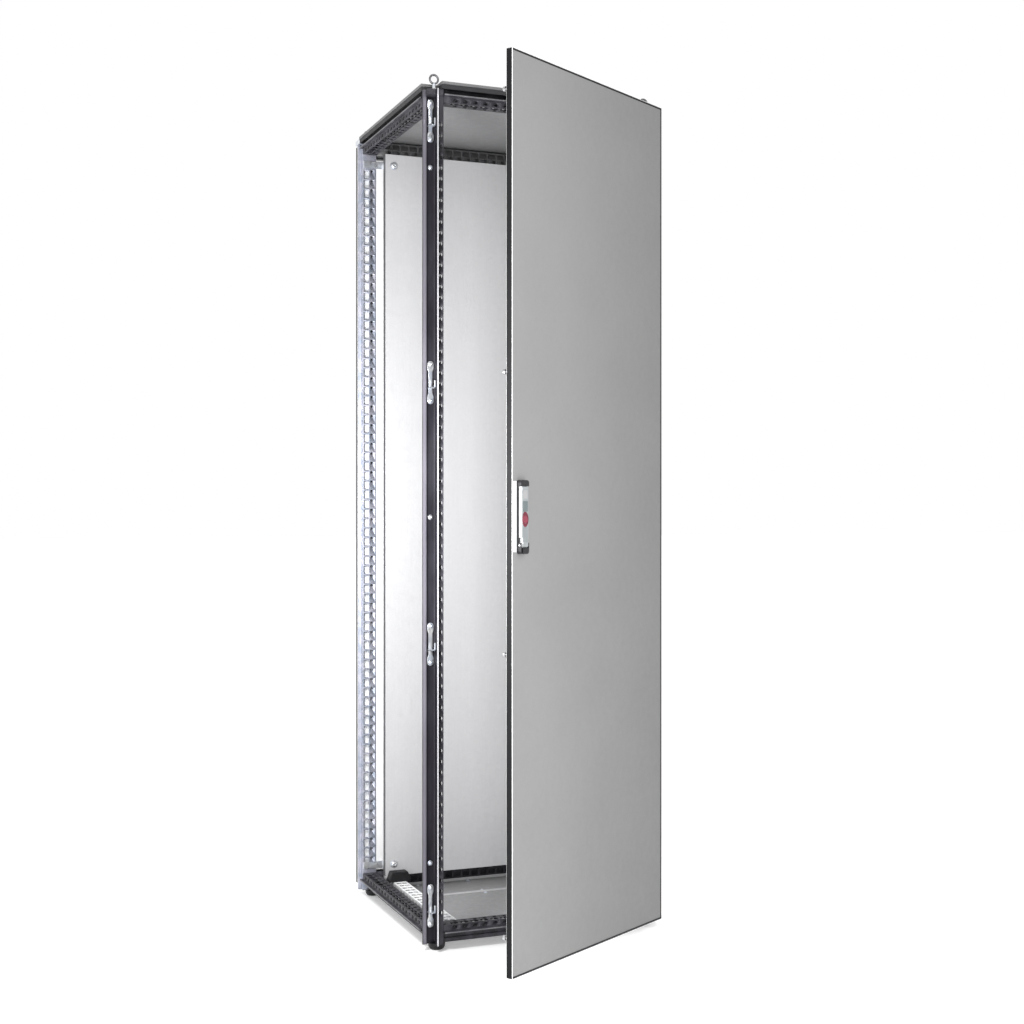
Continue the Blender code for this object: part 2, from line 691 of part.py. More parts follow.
def door_panel(parent, at):
    """Door sheet with folded edges, cleared at the hinges and for the gear."""
    low_x = -HALF_W + DOOR_MARGIN_X
    high_x = HALF_W - DOOR_MARGIN_X
    low = at(low_x, DOOR_FACE, DOOR_BOTTOM)
    high = at(high_x, DOOR_BACK, DOOR_TOP)
    pan = pan_mesh(low, high, DOOR_SHEET, (0, 1, 0))
    tools = []
    for height in hinge_heights():
        reach = HINGE_HALF + HINGE_CLEARANCE
        tools.append(box_mesh(
            at(high_x - DOOR_SHEET - FIT, DOOR_SKIN_BACK, height - reach),
            at(high_x + DOOR_SHEET, DOOR_BACK + DOOR_SHEET, height + reach)))
    half_slot = GEAR_WIDTH / 2 + 2 * RUNNING
    outer = GEAR_RADIUS + GEAR_MODULE
    reach = math.sqrt(outer ** 2 - (DOOR_FACE - PIVOT_Y) ** 2) + 2 * RUNNING
    tools.append(box_mesh(
        at(LATCH_X - half_slot, DOOR_FACE - DOOR_SHEET, PIVOT_Z - reach),
        at(LATCH_X + half_slot, DOOR_SKIN_BACK + DOOR_SHEET, PIVOT_Z + reach)))
    place("door_panel", cut(pan, *tools), "door_paint", parent=parent)


def door_gasket(parent, at):
    """Foamed seal on the door's back, which meets the frame's rim."""
    def ring(inset):
        return rectangle(-HALF_W + inset, inset, HALF_W - inset, FRAME_TOP - inset)
    def facing(x, z, y):
        return at(x, y, z)
    loops = [ring(GASKET_INSET), ring(GASKET_INSET + GASKET_WIDTH)]
    mesh = prism_mesh(loops, DOOR_SKIN_BACK + FIT, DOOR_BACK - FIT, facing)
    place("door_gasket", mesh, "gasket_foam", parent=parent)


def door_tubes(parent, at):
    """Tubular frame on the door's back."""
    front = DOOR_SKIN_BACK + FIT
    back = front + TUBE_DEPTH
    low = PROFILE + TUBE_END_GAP
    high = HEIGHT - low
    t = TUBE_WALL
    outer_x = HALF_W - PROFILE - TUBE_GAP
    inner_x = outer_x - TUBE_WIDTH
    for side, sign in (("left", -1), ("right", 1)):
        x0, x1 = sorted((sign * outer_x, sign * inner_x))
        loops = [rectangle(x0, front, x1, back), rectangle(x0 + t, front + t, x1 - t, back - t)]
        mesh = prism_mesh(loops, low, high, at)
        place(f"door_tube_{side}", mesh, "frame_paint", parent=parent)
    reach = inner_x - FIT
    def crosswise(y, z, x):
        return at(x, y, z)
    for level, z0 in (("bottom", low), ("top", high - TUBE_WIDTH)):
        z1 = z0 + TUBE_WIDTH
        loops = [rectangle(front, z0, back, z1), rectangle(front + t, z0 + t, back - t, z1 - t)]
        mesh = prism_mesh(loops, -reach, reach, crosswise)
        place(f"door_tube_{level}", mesh, "frame_paint", parent=parent)


def hinge_frame_leaf():
    """Leaf bolted in the right post's pocket, its arm ending in one knuckle."""
    back = -HALF_D + POCKET - FIT - HINGE_Y
    pocket_out = POCKET - HINGE_INSET
    arm = HINGE_ARM_INSET - HINGE_INSET
    def plan(x, y, z):
        return (x, y, z)
    base = prism_mesh(
        [rectangle(-pocket_out + FIT, back - LEAF, -FIT, back)], -HINGE_HALF, HINGE_HALF, plan)
    reach = [
        (-arm - LEAF, back - LEAF / 2), (-arm - LEAF, -HINGE_ARM_HALF), (0.0, -HINGE_ARM_HALF),
        (0.0, HINGE_ARM_HALF), (-arm, HINGE_ARM_HALF), (-arm, back - LEAF / 2),
    ]
    arm_mesh = prism_mesh([reach], -KNUCKLE_HALF, KNUCKLE_HALF, plan)
    knuckle = rod_mesh(KNUCKLE_RADIUS, -KNUCKLE_HALF, KNUCKLE_HALF)
    bore = rod_mesh(PIN_RADIUS + FIT, -HINGE_HALF, HINGE_HALF)
    return cut(fuse(base, arm_mesh, knuckle), bore)


def hinge_door_leaf():
    """Leaf on the door's back with a knuckle above and below the frame's."""
    skin = DOOR_SKIN_BACK + FIT - HINGE_Y
    left = -(GASKET_INSET - HINGE_INSET) + 4 * FIT
    right = HINGE_INSET - DOOR_MARGIN_X - DOOR_SHEET - FIT
    plate = box_mesh((left, skin, -HINGE_HALF), (right, skin + DOOR_LEAF, HINGE_HALF))
    solids = []
    start = KNUCKLE_HALF + RUNNING
    for low, high in ((start, HINGE_HALF), (-HINGE_HALF, -start)):
        solids.append(rod_mesh(KNUCKLE_RADIUS, low, high))
        root = skin + DOOR_LEAF / 2
        solids.append(box_mesh((-HINGE_WEB_HALF, root, low), (HINGE_WEB_HALF, -PIN_RADIUS, high)))
    bore = rod_mesh(PIN_RADIUS + FIT, -2 * HINGE_HALF, 2 * HINGE_HALF)
    return cut(fuse(plate, *solids), bore)


def hinges(parent):
    """Three hinges: frame leaf, pin and door leaf each."""
    frame_leaf = hinge_frame_leaf()
    door_leaf = hinge_door_leaf()
    top = HINGE_HALF + FIT
    pin = turned_mesh([
        (0.0, -top), (PIN_RADIUS, -top), (PIN_RADIUS, top), (PIN_HEAD_RADIUS, top),
        (PIN_HEAD_RADIUS, top + PIN_HEAD), (0.0, top + PIN_HEAD),
    ])
    for index, height in enumerate(hinge_heights(), start=1):
        place(f"hinge_frame_leaf_{index}", frame_leaf, "zinc", (HINGE_X, HINGE_Y, height))
        place(f"hinge_pin_{index}", pin, "steel", (HINGE_X, HINGE_Y, height))
        place(f"hinge_door_leaf_{index}", door_leaf, "zinc", (0.0, 0.0, height), parent)


# ---------------------------------------------------------------- handle

def handle_housing(parent, at):
    """Black housing: a shallow tray with a raised cap at each end."""
    half = HANDLE_WIDTH / 2
    x0 = HANDLE_X - half
    x1 = HANDLE_X + half
    floor_y = HANDLE_FLOOR_Y
    r = HANDLE_CORNER
    turns = [math.pi / 2 * step / CORNER_STEPS for step in range(CORNER_STEPS + 1)]
    corners = ((x1 - r, HANDLE_TOP - r, 0), (x0 + r, HANDLE_TOP - r, 1),
               (x0 + r, HANDLE_BOTTOM + r, 2), (x1 - r, HANDLE_BOTTOM + r, 3))
    outline = []
    for cx, cz, quarter in corners:
        for turn in turns:
            angle = turn + quarter * math.pi / 2
            outline.append((cx + r * math.cos(angle), cz + r * math.sin(angle)))
    def facing(x, z, y):
        return at(x, y, z)
    block = prism_mesh([outline], HANDLE_BACK, HANDLE_FRONT, facing)
    out = HANDLE_FRONT - HANDLE_DEPTH
    well = box_mesh(
        at(x0 + HANDLE_WALL, out, HANDLE_BOTTOM + HANDLE_CAP),
        at(x1 - HANDLE_WALL, floor_y, HANDLE_TOP - HANDLE_CAP))
    waist = box_mesh(
        at(x0 - half, out, HANDLE_BOTTOM + CHEEK_HEIGHT),
        at(x1 + half, HANDLE_BACK - HANDLE_LOW_WALL, HANDLE_TOP - HANDLE_CAP))
    outer = GEAR_RADIUS + GEAR_MODULE + 2 * RUNNING
    half_slot = GEAR_WIDTH / 2 + RUNNING
    gear_room = box_mesh(
        at(LATCH_X - half_slot, PIVOT_Y - GEAR_HUB_RADIUS - RUNNING, PIVOT_Z - outer),
        at(LATCH_X + half_slot, HANDLE_BACK + HANDLE_FLOOR, PIVOT_Z + outer))
    pin_bore = rod_mesh(
        LEVER_PIN_RADIUS + FIT, -HANDLE_WIDTH, HANDLE_WIDTH, (1, 0, 0), at(HANDLE_X, PIVOT_Y, PIVOT_Z))
    place("handle_housing", cut(block, well, waist, gear_room, pin_bore), "black_plastic", parent=parent)


def lever_parts(parent, at):
    """Lift lever, its sector gear, pivot pin and lock button."""
    half = HANDLE_WIDTH / 2 - HANDLE_WALL - 2 * RUNNING
    gear_edge = LATCH_X + GEAR_WIDTH / 2 + FIT
    top = HANDLE_TOP - HANDLE_CAP - 2 * RUNNING
    hub = at(0.0, PIVOT_Y, PIVOT_Z)
    lever_pivot = pivot("lever_pivot", (0.0, hub[1], hub[2]), parent=parent)

    def local(x, y, z):
        return (at(x, 0.0, 0.0)[0], y - PIVOT_Y, z - PIVOT_Z)

    r = LEVER_HALF_DEPTH
    outline = [(r, top - PIVOT_Z), (-r, top - PIVOT_Z)]
    for step in range(LEVER_ROUND_STEPS + 1):
        turn = math.pi + math.pi * step / LEVER_ROUND_STEPS
        outline.append((r * math.cos(turn), r * math.sin(turn)))
    def side_view(y, z, x):
        return (x, y, z)
    x0 = at(HANDLE_X - half, 0, 0)[0]
    x1 = at(HANDLE_X + half, 0, 0)[0]
    body = prism_mesh([outline], x0, x1, side_view)
    clear = GEAR_RADIUS + GEAR_MODULE + 2 * RUNNING
    gear_gap = box_mesh(
        (x0 - half, -2 * r, -2 * r), (at(gear_edge, 0, 0)[0], 2 * r, clear))
    bore = rod_mesh(LEVER_PIN_RADIUS + FIT, -HANDLE_WIDTH, HANDLE_WIDTH, (1, 0, 0), (at(HANDLE_X, 0, 0)[0], 0, 0))
    centre = local(HANDLE_X, PIVOT_Y - r, BUTTON_Z)
    well = rod_mesh(BUTTON_RADIUS + RUNNING, -r, BUTTON_WELL, (0, 1, 0), centre)
    place("handle_lever", cut(body, gear_gap, bore, well), "handle_grey", parent=lever_pivot)

    gear_x = at(LATCH_X, 0, 0)[0]
    gear = prism_mesh(
        [sector_outline(), circle(LEVER_PIN_RADIUS + FIT, count=BORE_SIDES)],
        gear_x - GEAR_WIDTH / 2, gear_x + GEAR_WIDTH / 2, side_view)
    place("drive_gear", gear, "steel", parent=lever_pivot)

    pin_half = HANDLE_WIDTH / 2 - FIT
    pin = rod_mesh(LEVER_PIN_RADIUS, -pin_half, pin_half, (1, 0, 0), at(HANDLE_X, PIVOT_Y, PIVOT_Z))
    place("lever_pin", pin, "steel", parent=parent)

    face = -BUTTON_PROUD
    edge = BUTTON_RADIUS
    crown = BUTTON_PROUD / 2
    button = turned_mesh([
        (0.0, face), (edge - crown, face), (edge, face + crown),
        (edge, face + BUTTON_THICKNESS), (0.0, face + BUTTON_THICKNESS),
    ], (0, 1, 0))
    place("lock_button", button, "button_red", centre, lever_pivot)


def sector_outline():
    """Toothed sector, angles from the rack's side, and a round hub."""
    base = GEAR_RADIUS * math.cos(PRESSURE_ANGLE)
    tip = GEAR_RADIUS + GEAR_MODULE
    root = GEAR_RADIUS - DEDENDUM * GEAR_MODULE
    pitch = GEAR_MODULE / GEAR_RADIUS * math.pi
    backlash = GEAR_BACKLASH / GEAR_RADIUS

    def involute(radius):
        lean = math.acos(min(1.0, base / radius))
        return math.tan(lean) - lean

    def half_angle(radius):
        return pitch / 4 - backlash / 4 + involute(GEAR_RADIUS) - involute(max(radius, base))

    teeth = range(-math.ceil(LEVER_LIFT / pitch) - 1, 2)
    start = base + FLANK_START * GEAR_MODULE
    middle_addendum = GEAR_RADIUS + FLANK_MIDDLE * GEAR_MODULE
    radii = [root, start, GEAR_RADIUS, middle_addendum, tip]
    points = []
    for tooth in teeth:
        middle = tooth * pitch
        flank = [(radius, middle - half_angle(radius)) for radius in radii]
        points += flank + [(radius, 2 * middle - angle) for radius, angle in reversed(flank)]
    last = points[-1][1]
    first = points[0][1]
    hub_start = last + HUB_BLEND
    hub_end = first + math.tau - HUB_BLEND
    for step in range(HUB_STEPS + 1):
        points.append((GEAR_HUB_RADIUS, hub_start + (hub_end - hub_start) * step / HUB_STEPS))
    return [(radius * math.cos(angle), radius * math.sin(angle)) for radius, angle in points]


def build():
    clear_scene()
    posts()
    rails()
    roof()
    lifting_eyes()
    feet()
    floor_plates()
    rear_panel()
    mounting_plate()
    plate_brackets()
    floor_slides()
    plate_shoes()
    keepers()

    door = pivot("door_pivot", (HINGE_X, HINGE_Y, 0.0), (0.0, 0.0, DOOR_OPEN))

    def at(x, y, z):
        """A place on the shut door, seen from its hinge line."""
        return (x - HINGE_X, y - HINGE_Y, z)

    door_panel(door, at)
    door_gasket(door, at)
    door_tubes(door, at)
    hinges(door)
    lock_rod(door, at)
    rod_guides(door, at)
    handle_housing(door, at)
    lever_parts(door, at)


build()
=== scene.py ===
import json
import math

import bmesh
import bpy
from mathutils import Matrix, Vector


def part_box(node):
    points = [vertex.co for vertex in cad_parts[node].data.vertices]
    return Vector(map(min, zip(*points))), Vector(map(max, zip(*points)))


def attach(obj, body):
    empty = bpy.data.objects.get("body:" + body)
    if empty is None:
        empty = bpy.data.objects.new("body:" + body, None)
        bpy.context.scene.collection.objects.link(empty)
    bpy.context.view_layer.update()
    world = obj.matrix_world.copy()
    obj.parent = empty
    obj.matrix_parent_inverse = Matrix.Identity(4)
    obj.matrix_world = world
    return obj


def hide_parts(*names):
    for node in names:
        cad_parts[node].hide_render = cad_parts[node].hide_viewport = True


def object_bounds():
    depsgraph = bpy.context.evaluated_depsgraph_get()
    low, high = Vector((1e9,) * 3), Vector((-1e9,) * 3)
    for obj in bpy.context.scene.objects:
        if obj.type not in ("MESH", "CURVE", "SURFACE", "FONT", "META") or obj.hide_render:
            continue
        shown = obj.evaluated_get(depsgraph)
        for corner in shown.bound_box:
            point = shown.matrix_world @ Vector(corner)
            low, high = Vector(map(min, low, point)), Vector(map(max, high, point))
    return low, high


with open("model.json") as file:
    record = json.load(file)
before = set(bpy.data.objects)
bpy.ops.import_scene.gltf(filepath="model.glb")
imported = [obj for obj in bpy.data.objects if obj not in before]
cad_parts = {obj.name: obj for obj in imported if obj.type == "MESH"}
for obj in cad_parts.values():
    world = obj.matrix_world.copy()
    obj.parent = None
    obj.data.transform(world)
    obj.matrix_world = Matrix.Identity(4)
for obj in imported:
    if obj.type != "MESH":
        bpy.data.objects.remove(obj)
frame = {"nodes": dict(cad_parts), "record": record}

CAD_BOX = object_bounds()
RECORD = frame["record"]

# Frame section, inward from the outer corner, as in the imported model
PROFILE = 0.045
NOTCH = 0.026
RIM = 0.005
FACE_STEP = 0.008
LIP_DEPTH = 0.010
POCKET = 0.030
SHEET = 0.0015
BEND = 0.0012
PITCH = 0.025

# ---------------------------------------------------------------- places

BODY_OF = {}
for body_name, members in RECORD["behaviour"]["bodies"].items():
    for member in members:
        BODY_OF[member] = body_name
HINGE = next(joint for joint in RECORD["behaviour"]["joints"] if joint["name"] == "door_hinge")
HINGE_AT = Vector((HINGE["pos_m"][0], HINGE["pos_m"][1], 0.0))
DOOR_OPEN = math.radians(-HINGE["range_deg"][0])
DOOR_TURN = Matrix.Translation(HINGE_AT) @ Matrix.Rotation(DOOR_OPEN, 4, "Z") @ Matrix.Translation(-HINGE_AT)
DOOR_BACK = DOOR_TURN.inverted()
STILL = Matrix.Identity(4)
ROWS = (("front", -1), ("rear", 1))
SIDES = (("left", -1), ("right", 1))


def boxed(node):
    low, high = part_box(node)
    return Vector(low), Vector(high)


def shut_box(node):
    """Box of a door node in the shut door's own axes."""
    points = [DOOR_BACK @ vert.co for vert in frame["nodes"][node].data.vertices]
    low = Vector([min(point[axis] for point in points) for axis in range(3)])
    high = Vector([max(point[axis] for point in points) for axis in range(3)])
    return low, high


POST_LOW, POST_HIGH = boxed("post_front_left")
HALF_W = -POST_LOW.x
HALF_D = -POST_LOW.y
FRAME_TOP = POST_HIGH.z
HEIGHT = boxed("roof_panel")[1].z
SPAN_X = boxed("rail_bottom_front")[1].x
SPAN_Y = boxed("rail_bottom_left")[1].y

# ---------------------------------------------------------------- materials


class Nodes:
    """Short way to wire one material's nodes."""

    def __init__(self, name):
        self.material = bpy.data.materials.new(name)
        self.material.use_nodes = True
        self.tree = self.material.node_tree
        self.shader = self.tree.nodes["Principled BSDF"]
        self.coords = self.tree.nodes.new("ShaderNodeTexCoord").outputs["Object"]

    def node(self, kind, inputs=None, **settings):
        made = self.tree.nodes.new(kind)
        for key, value in settings.items():
            setattr(made, key, value)
        for key, value in (inputs or {}).items():
            self.feed(made.inputs[key], value)
        return made

    def feed(self, socket, value):
        if isinstance(value, bpy.types.NodeSocket):
            self.tree.links.new(value, socket)
        else:
            socket.default_value = value

    def stretched(self, scale):
        return self.node("ShaderNodeMapping", {"Vector": self.coords, "Scale": scale}).outputs[0]

    def noise(self, scale, detail=3.0, rough=0.5, vector=None):
        made = self.node("ShaderNodeTexNoise", {
            "Vector": vector or self.coords, "Scale": scale, "Detail": detail, "Roughness": rough})
        return made.outputs["Fac"]

    def cells(self, scale, vector=None):
        made = self.node("ShaderNodeTexVoronoi", {"Vector": vector or self.coords, "Scale": scale})
        return self.node("ShaderNodeSeparateColor", {"Color": made.outputs["Color"]}).outputs[0]

    def spread(self, value, low, high, start=0.3, end=0.7):
        made = self.node("ShaderNodeMapRange", {
            "Value": value, "From Min": start, "From Max": end, "To Min": low, "To Max": high})
        return made.outputs[0]

    def blend(self, factor, first, second):
        made = self.node("ShaderNodeMix", data_type="RGBA")
        self.feed(made.inputs[0], factor)
        self.feed(made.inputs[6], first)
        self.feed(made.inputs[7], second)
        return made.outputs[2]

    def bump(self, height, strength, distance):
        made = self.node("ShaderNodeBump", {"Height": height, "Strength": strength, "Distance": distance})
        self.feed(self.shader.inputs["Normal"], made.outputs[0])

    def set(self, **values):
        for key, value in values.items():
            self.feed(self.shader.inputs[key.replace("_", " ")], value)


def colour(red, green, blue):
    return (red, green, blue, 1.0)


def powder_coat(name, base, dark, rough=0.46, grain=0.25, gloss=0.5):
    """Powder coat: fine orange peel, faint cloudiness."""
    n = Nodes(name)
    cloud = n.noise(5.0, 4.0)
    speck = n.noise(900.0, 2.0)
    tone = n.blend(n.spread(cloud, 0.0, 0.6), base, dark)
    n.set(Base_Color=n.blend(n.spread(speck, 0.0, 0.5), tone, dark))
    n.set(Roughness=n.spread(n.noise(60.0, 3.0), rough - 0.05, rough + 0.07))
    n.shader.inputs["Specular IOR Level"].default_value = gloss
    n.bump(n.noise(520.0, 3.0), grain, 0.0004)
    return n.material


def primer(name, base, pale, rough=0.42, metallic=0.35, gloss=0.5):
    """Dip-coated dark steel: satin, with pale streaks where it ran and rubbed."""
    n = Nodes(name)
    runs = n.noise(26.0, 5.0, 0.6, n.stretched((1.0, 1.0, 0.22)))
    fine = n.noise(240.0, 4.0)
    tone = n.blend(n.spread(runs, 0.0, 0.75, 0.42, 0.72), base, pale)
    n.set(Base_Color=n.blend(n.spread(fine, 0.0, 0.35), tone, base))
    n.set(Roughness=n.spread(fine, rough - 0.08, rough + 0.12))
    n.shader.inputs["Metallic"].default_value = metallic
    n.shader.inputs["Specular IOR Level"].default_value = gloss
    n.bump(fine, 0.2, 0.0003)
    return n.material


def zinc_plate(name, base, cool, warm, rough=0.3, metallic=0.9):
    """Zinc plating: bright, with cool and warm tints and small scuffs."""
    n = Nodes(name)
    tint = n.noise(34.0, 4.0, 0.65)
    scuff = n.noise(150.0, 6.0, 0.7, n.stretched((1.0, 1.0, 0.4)))
    tone = n.blend(n.spread(tint, 0.0, 1.0, 0.4, 0.6), cool, warm)
    n.set(Base_Color=n.blend(n.spread(scuff, 0.15, 0.85, 0.35, 0.65), base, tone))
    n.set(Roughness=n.spread(scuff, rough - 0.08, rough + 0.2))
    n.shader.inputs["Metallic"].default_value = metallic
    n.bump(scuff, 0.15, 0.0003)
    return n.material


def galvanised(name, base, dark, rough=0.42, metallic=0.75):
    """Galvanised sheet: faint spangle, rolled streaks."""
    n = Nodes(name)
    spangle = n.cells(85.0)
    streak = n.noise(12.0, 5.0, 0.6, n.stretched((14.0, 14.0, 0.6)))
    tone = n.blend(n.spread(spangle, 0.0, 0.28, 0.0, 1.0), base, dark)
    n.set(Base_Color=n.blend(n.spread(streak, 0.0, 0.30), tone, dark))
    n.set(Roughness=n.spread(spangle, rough - 0.05, rough + 0.08, 0.0, 1.0))
    n.shader.inputs["Metallic"].default_value = metallic
    n.bump(n.noise(300.0, 4.0), 0.12, 0.0002)
    return n.material


def moulded(name, base, pale, rough=0.42, grain=0.2, gloss=0.5):
    """Moulded plastic: fine spark-eroded grain and slightly polished patches."""
    n = Nodes(name)
    grainy = n.noise(1100.0, 3.0)
    patch = n.noise(45.0, 3.0)
    n.set(Base_Color=n.blend(n.spread(patch, 0.0, 0.5), base, pale))
    n.set(Roughness=n.spread(patch, rough + 0.08, rough - 0.08))
    n.shader.inputs["Specular IOR Level"].default_value = gloss
    n.bump(grainy, grain, 0.0002)
    return n.material


def foam(name, base, pale):
    """Foamed-on seal: closed skin over small bubbles."""
    n = Nodes(name)
    bubbles = n.cells(1400.0)
    n.set(Base_Color=n.blend(n.spread(bubbles, 0.0, 0.5, 0.0, 1.0), base, pale))
    n.set(Roughness=n.spread(n.noise(200.0), 0.75, 0.92))
    n.bump(n.noise(900.0, 4.0), 0.5, 0.0005)
    return n.material


def turned_steel(name, base, dark, rough=0.3):
    """Bright drawn steel: fine lines and dull spots."""
    n = Nodes(name)
    lines = n.noise(60.0, 5.0, 0.7, n.stretched((30.0, 30.0, 1.0)))
    n.set(Base_Color=n.blend(n.spread(lines, 0.0, 0.5), base, dark))
    n.set(Roughness=n.spread(lines, rough - 0.05, rough + 0.15))
    n.shader.inputs["Metallic"].default_value = 0.95
    n.bump(lines, 0.1, 0.0002)
    return n.material


# Tones that the photo's light gives to single faces (rim, lip, groove, side) are in the paint here.
FRAME = primer("frame_primer", colour(0.030, 0.029, 0.034), colour(0.095, 0.092, 0.108), 0.42, 0.2, 0.2)
# Rims of the rails, painted lighter as a highlight
RIM_PAINTED_HIGHLIGHT = primer("frame_rim_painted_highlight", colour(0.105, 0.104, 0.112), colour(0.23, 0.228, 0.24))
# Lip of the front posts, painted lighter as light falling on that side
POST_LIP_PAINTED_LIGHT = primer("post_lip_painted_light", colour(0.150, 0.143, 0.170), colour(0.22, 0.21, 0.24), 0.42, 0.2, 0.3)
# Groove of the front posts, painted dark as shade
GROOVE_PAINTED_SHADE = primer("post_groove_painted_shade", colour(0.014, 0.013, 0.017), colour(0.040, 0.038, 0.048), 0.5, 0.1, 0.12)
# Top rear rail: the frame's primer painted paler as light falling on it
REAR_RAIL_PAINTED_LIGHT = primer("rear_rail_painted_light", colour(0.15, 0.15, 0.155), colour(0.22, 0.22, 0.225), 0.45, 0.2, 0.3)
# Rim of the front posts, painted near white as a highlight
POST_RIM_PAINTED_HIGHLIGHT = primer("post_rim_painted_highlight", colour(0.80, 0.80, 0.83), colour(0.90, 0.90, 0.92), 0.38)
# Inside of the rear posts, painted white as light seen through their holes
INNER_PAINTED_LIGHT = zinc_plate(
    "post_inside_painted_light", colour(0.90, 0.91, 0.93), colour(0.85, 0.90, 0.96), colour(0.95, 0.95, 0.95), 0.5, 0.0)
ZINC = zinc_plate("bright_zinc", colour(0.72, 0.74, 0.78), colour(0.55, 0.62, 0.74), colour(0.80, 0.80, 0.78))
REAR_ZINC = zinc_plate(
    "rear_post_zinc", colour(0.38, 0.39, 0.45), colour(0.26, 0.31, 0.39), colour(0.52, 0.51, 0.58), 0.40, 0.7)
GALVANISED = galvanised(
    "plate_galvanised", colour(0.57, 0.57, 0.58), colour(0.49, 0.49, 0.505), 0.5, 0.3)
# Side faces of the mounting plate, painted dark as shade
PLATE_SHADE = galvanised("plate_side_painted_shade", colour(0.10, 0.10, 0.104), colour(0.07, 0.07, 0.074), 0.5, 0.3)
RAIL_WHITE = galvanised("plate_rail_zinc", colour(0.88, 0.88, 0.88), colour(0.80, 0.80, 0.81), 0.5, 0.1)
FLOOR_STEEL = galvanised(
    "floor_galvanised", colour(0.36, 0.36, 0.365), colour(0.30, 0.30, 0.305), 0.5, 0.3)
SLIDE_ZINC = zinc_plate(
    "slide_zinc", colour(0.95, 0.95, 0.95), colour(0.88, 0.90, 0.93), colour(0.97, 0.97, 0.96), 0.40, 0.1)
SEAM = galvanised("seam_strip", colour(0.60, 0.60, 0.61), colour(0.50, 0.50, 0.51), 0.5, 0.3)
DOOR = powder_coat("door_powder_coat", colour(0.150, 0.150, 0.150), colour(0.128, 0.128, 0.128))
# Folded edges of the door and sides of the rear panel, painted dark as shade
DOOR_EDGE_PAINTED_SHADE = powder_coat(
    "door_folded_edge_painted_shade", colour(0.012, 0.012, 0.013), colour(0.008, 0.008, 0.009), 0.6, 0.25, 0.12)
# Bevel along the door's bends, painted pale as a highlight
DOOR_BEND_PAINTED_HIGHLIGHT = powder_coat("door_bend_painted_highlight", colour(0.82, 0.82, 0.82), colour(0.74, 0.74, 0.74), 0.35)
# Inside of the rear panel: light paint, made paler still as painted light
PANEL_INSIDE_PAINTED_LIGHT = powder_coat("panel_inside_painted_light", colour(0.90, 0.90, 0.90), colour(0.84, 0.84, 0.84))
PANEL_BACK = powder_coat("panel_back_coat", colour(0.30, 0.30, 0.30), colour(0.26, 0.26, 0.26))
ROOF = powder_coat("roof_powder_coat", colour(0.15, 0.15, 0.152), colour(0.11, 0.11, 0.114))
# Lip under the roof's top sheet, painted dark as shade
ROOF_SHADE = powder_coat(
    "roof_lip_painted_shade", colour(0.040, 0.040, 0.042), colour(0.028, 0.028, 0.030), 0.5, 0.25, 0.15)
# Underside of the roof, painted paler as light
ROOF_UNDER_PAINTED_LIGHT = powder_coat("roof_underside_painted_light", colour(0.22, 0.22, 0.224), colour(0.18, 0.18, 0.184))
EYE_STEEL = turned_steel("eye_steel", colour(0.16, 0.16, 0.17), colour(0.10, 0.10, 0.11), 0.34)
FOAM = foam("seal_foam", colour(0.022, 0.022, 0.024), colour(0.05, 0.05, 0.053))
BLACK = moulded("black_nylon", colour(0.010, 0.010, 0.011), colour(0.022, 0.022, 0.024), 0.42, 0.2, 0.2)
HANDLE_GREY = moulded("handle_grey_paint", colour(0.15, 0.162, 0.166), colour(0.19, 0.202, 0.206), 0.38, 0.1)
# Upper grip of the lever, painted dark as the shade of a recess
GRIP_PAINTED_SHADE = moulded("grip_painted_shade", colour(0.070, 0.086, 0.089), colour(0.09, 0.106, 0.109), 0.38, 0.1)
GRIP_PALE = moulded("grip_pale_paint", colour(0.125, 0.138, 0.141), colour(0.155, 0.168, 0.171), 0.38, 0.1)
# Pale paint for the lever's left side and the strip beside the handle, as a highlight
HANDLE_PAINTED_HIGHLIGHT = moulded("handle_painted_highlight", colour(0.42, 0.43, 0.44), colour(0.50, 0.50, 0.50), 0.35, 0.1)
BARE = moulded("bare_badge_plate", colour(0.19, 0.19, 0.193), colour(0.22, 0.22, 0.223), 0.32, 0.05)
RED = moulded("lock_red", colour(0.13, 0.022, 0.036), colour(0.17, 0.035, 0.05), 0.35, 0.1, 0.25)
RED_DARK = moulded(
    "lock_surround_red", colour(0.085, 0.012, 0.022), colour(0.11, 0.018, 0.03), 0.35, 0.1, 0.25)
STEEL = turned_steel("bright_steel", colour(0.52, 0.52, 0.53), colour(0.38, 0.38, 0.39))

# ---------------------------------------------------------------- pieces


def add_piece(name, mesh, material, body, replaced=()):
    """New object for the looks, riding on its body and standing in for the CAD nodes given."""
    mesh.materials.append(material)
    item = bpy.data.objects.new(name, mesh)
    bpy.context.scene.collection.objects.link(item)
    if replaced:
        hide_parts(*replaced)
    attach(item, body)
    return item


def mesh_of(bm, name, smooth=30.0):
    """Finished mesh, shaded smooth up to the angle given."""
    mesh = bpy.data.meshes.new(name)
    bm.to_mesh(mesh)
    bm.free()
    mesh.shade_smooth()
    mesh.set_sharp_from_angle(angle=math.radians(smooth))
    return mesh


def bevelled(item, width, segments=2, angle=30.0):
    step = item.modifiers.new("edge", "BEVEL")
    step.width = width
    step.segments = segments
    step.limit_method = "ANGLE"
    step.angle_limit = math.radians(angle)
    step.harden_normals = True
    step.use_clamp_overlap = True
    return item


def applied(item):
    """The piece's modifiers made part of its mesh."""
    bpy.context.view_layer.update()
    graph = bpy.context.evaluated_depsgraph_get()
    mesh = bpy.data.meshes.new_from_object(item.evaluated_get(graph))
    item.modifiers.clear()
    item.data = mesh
    return mesh


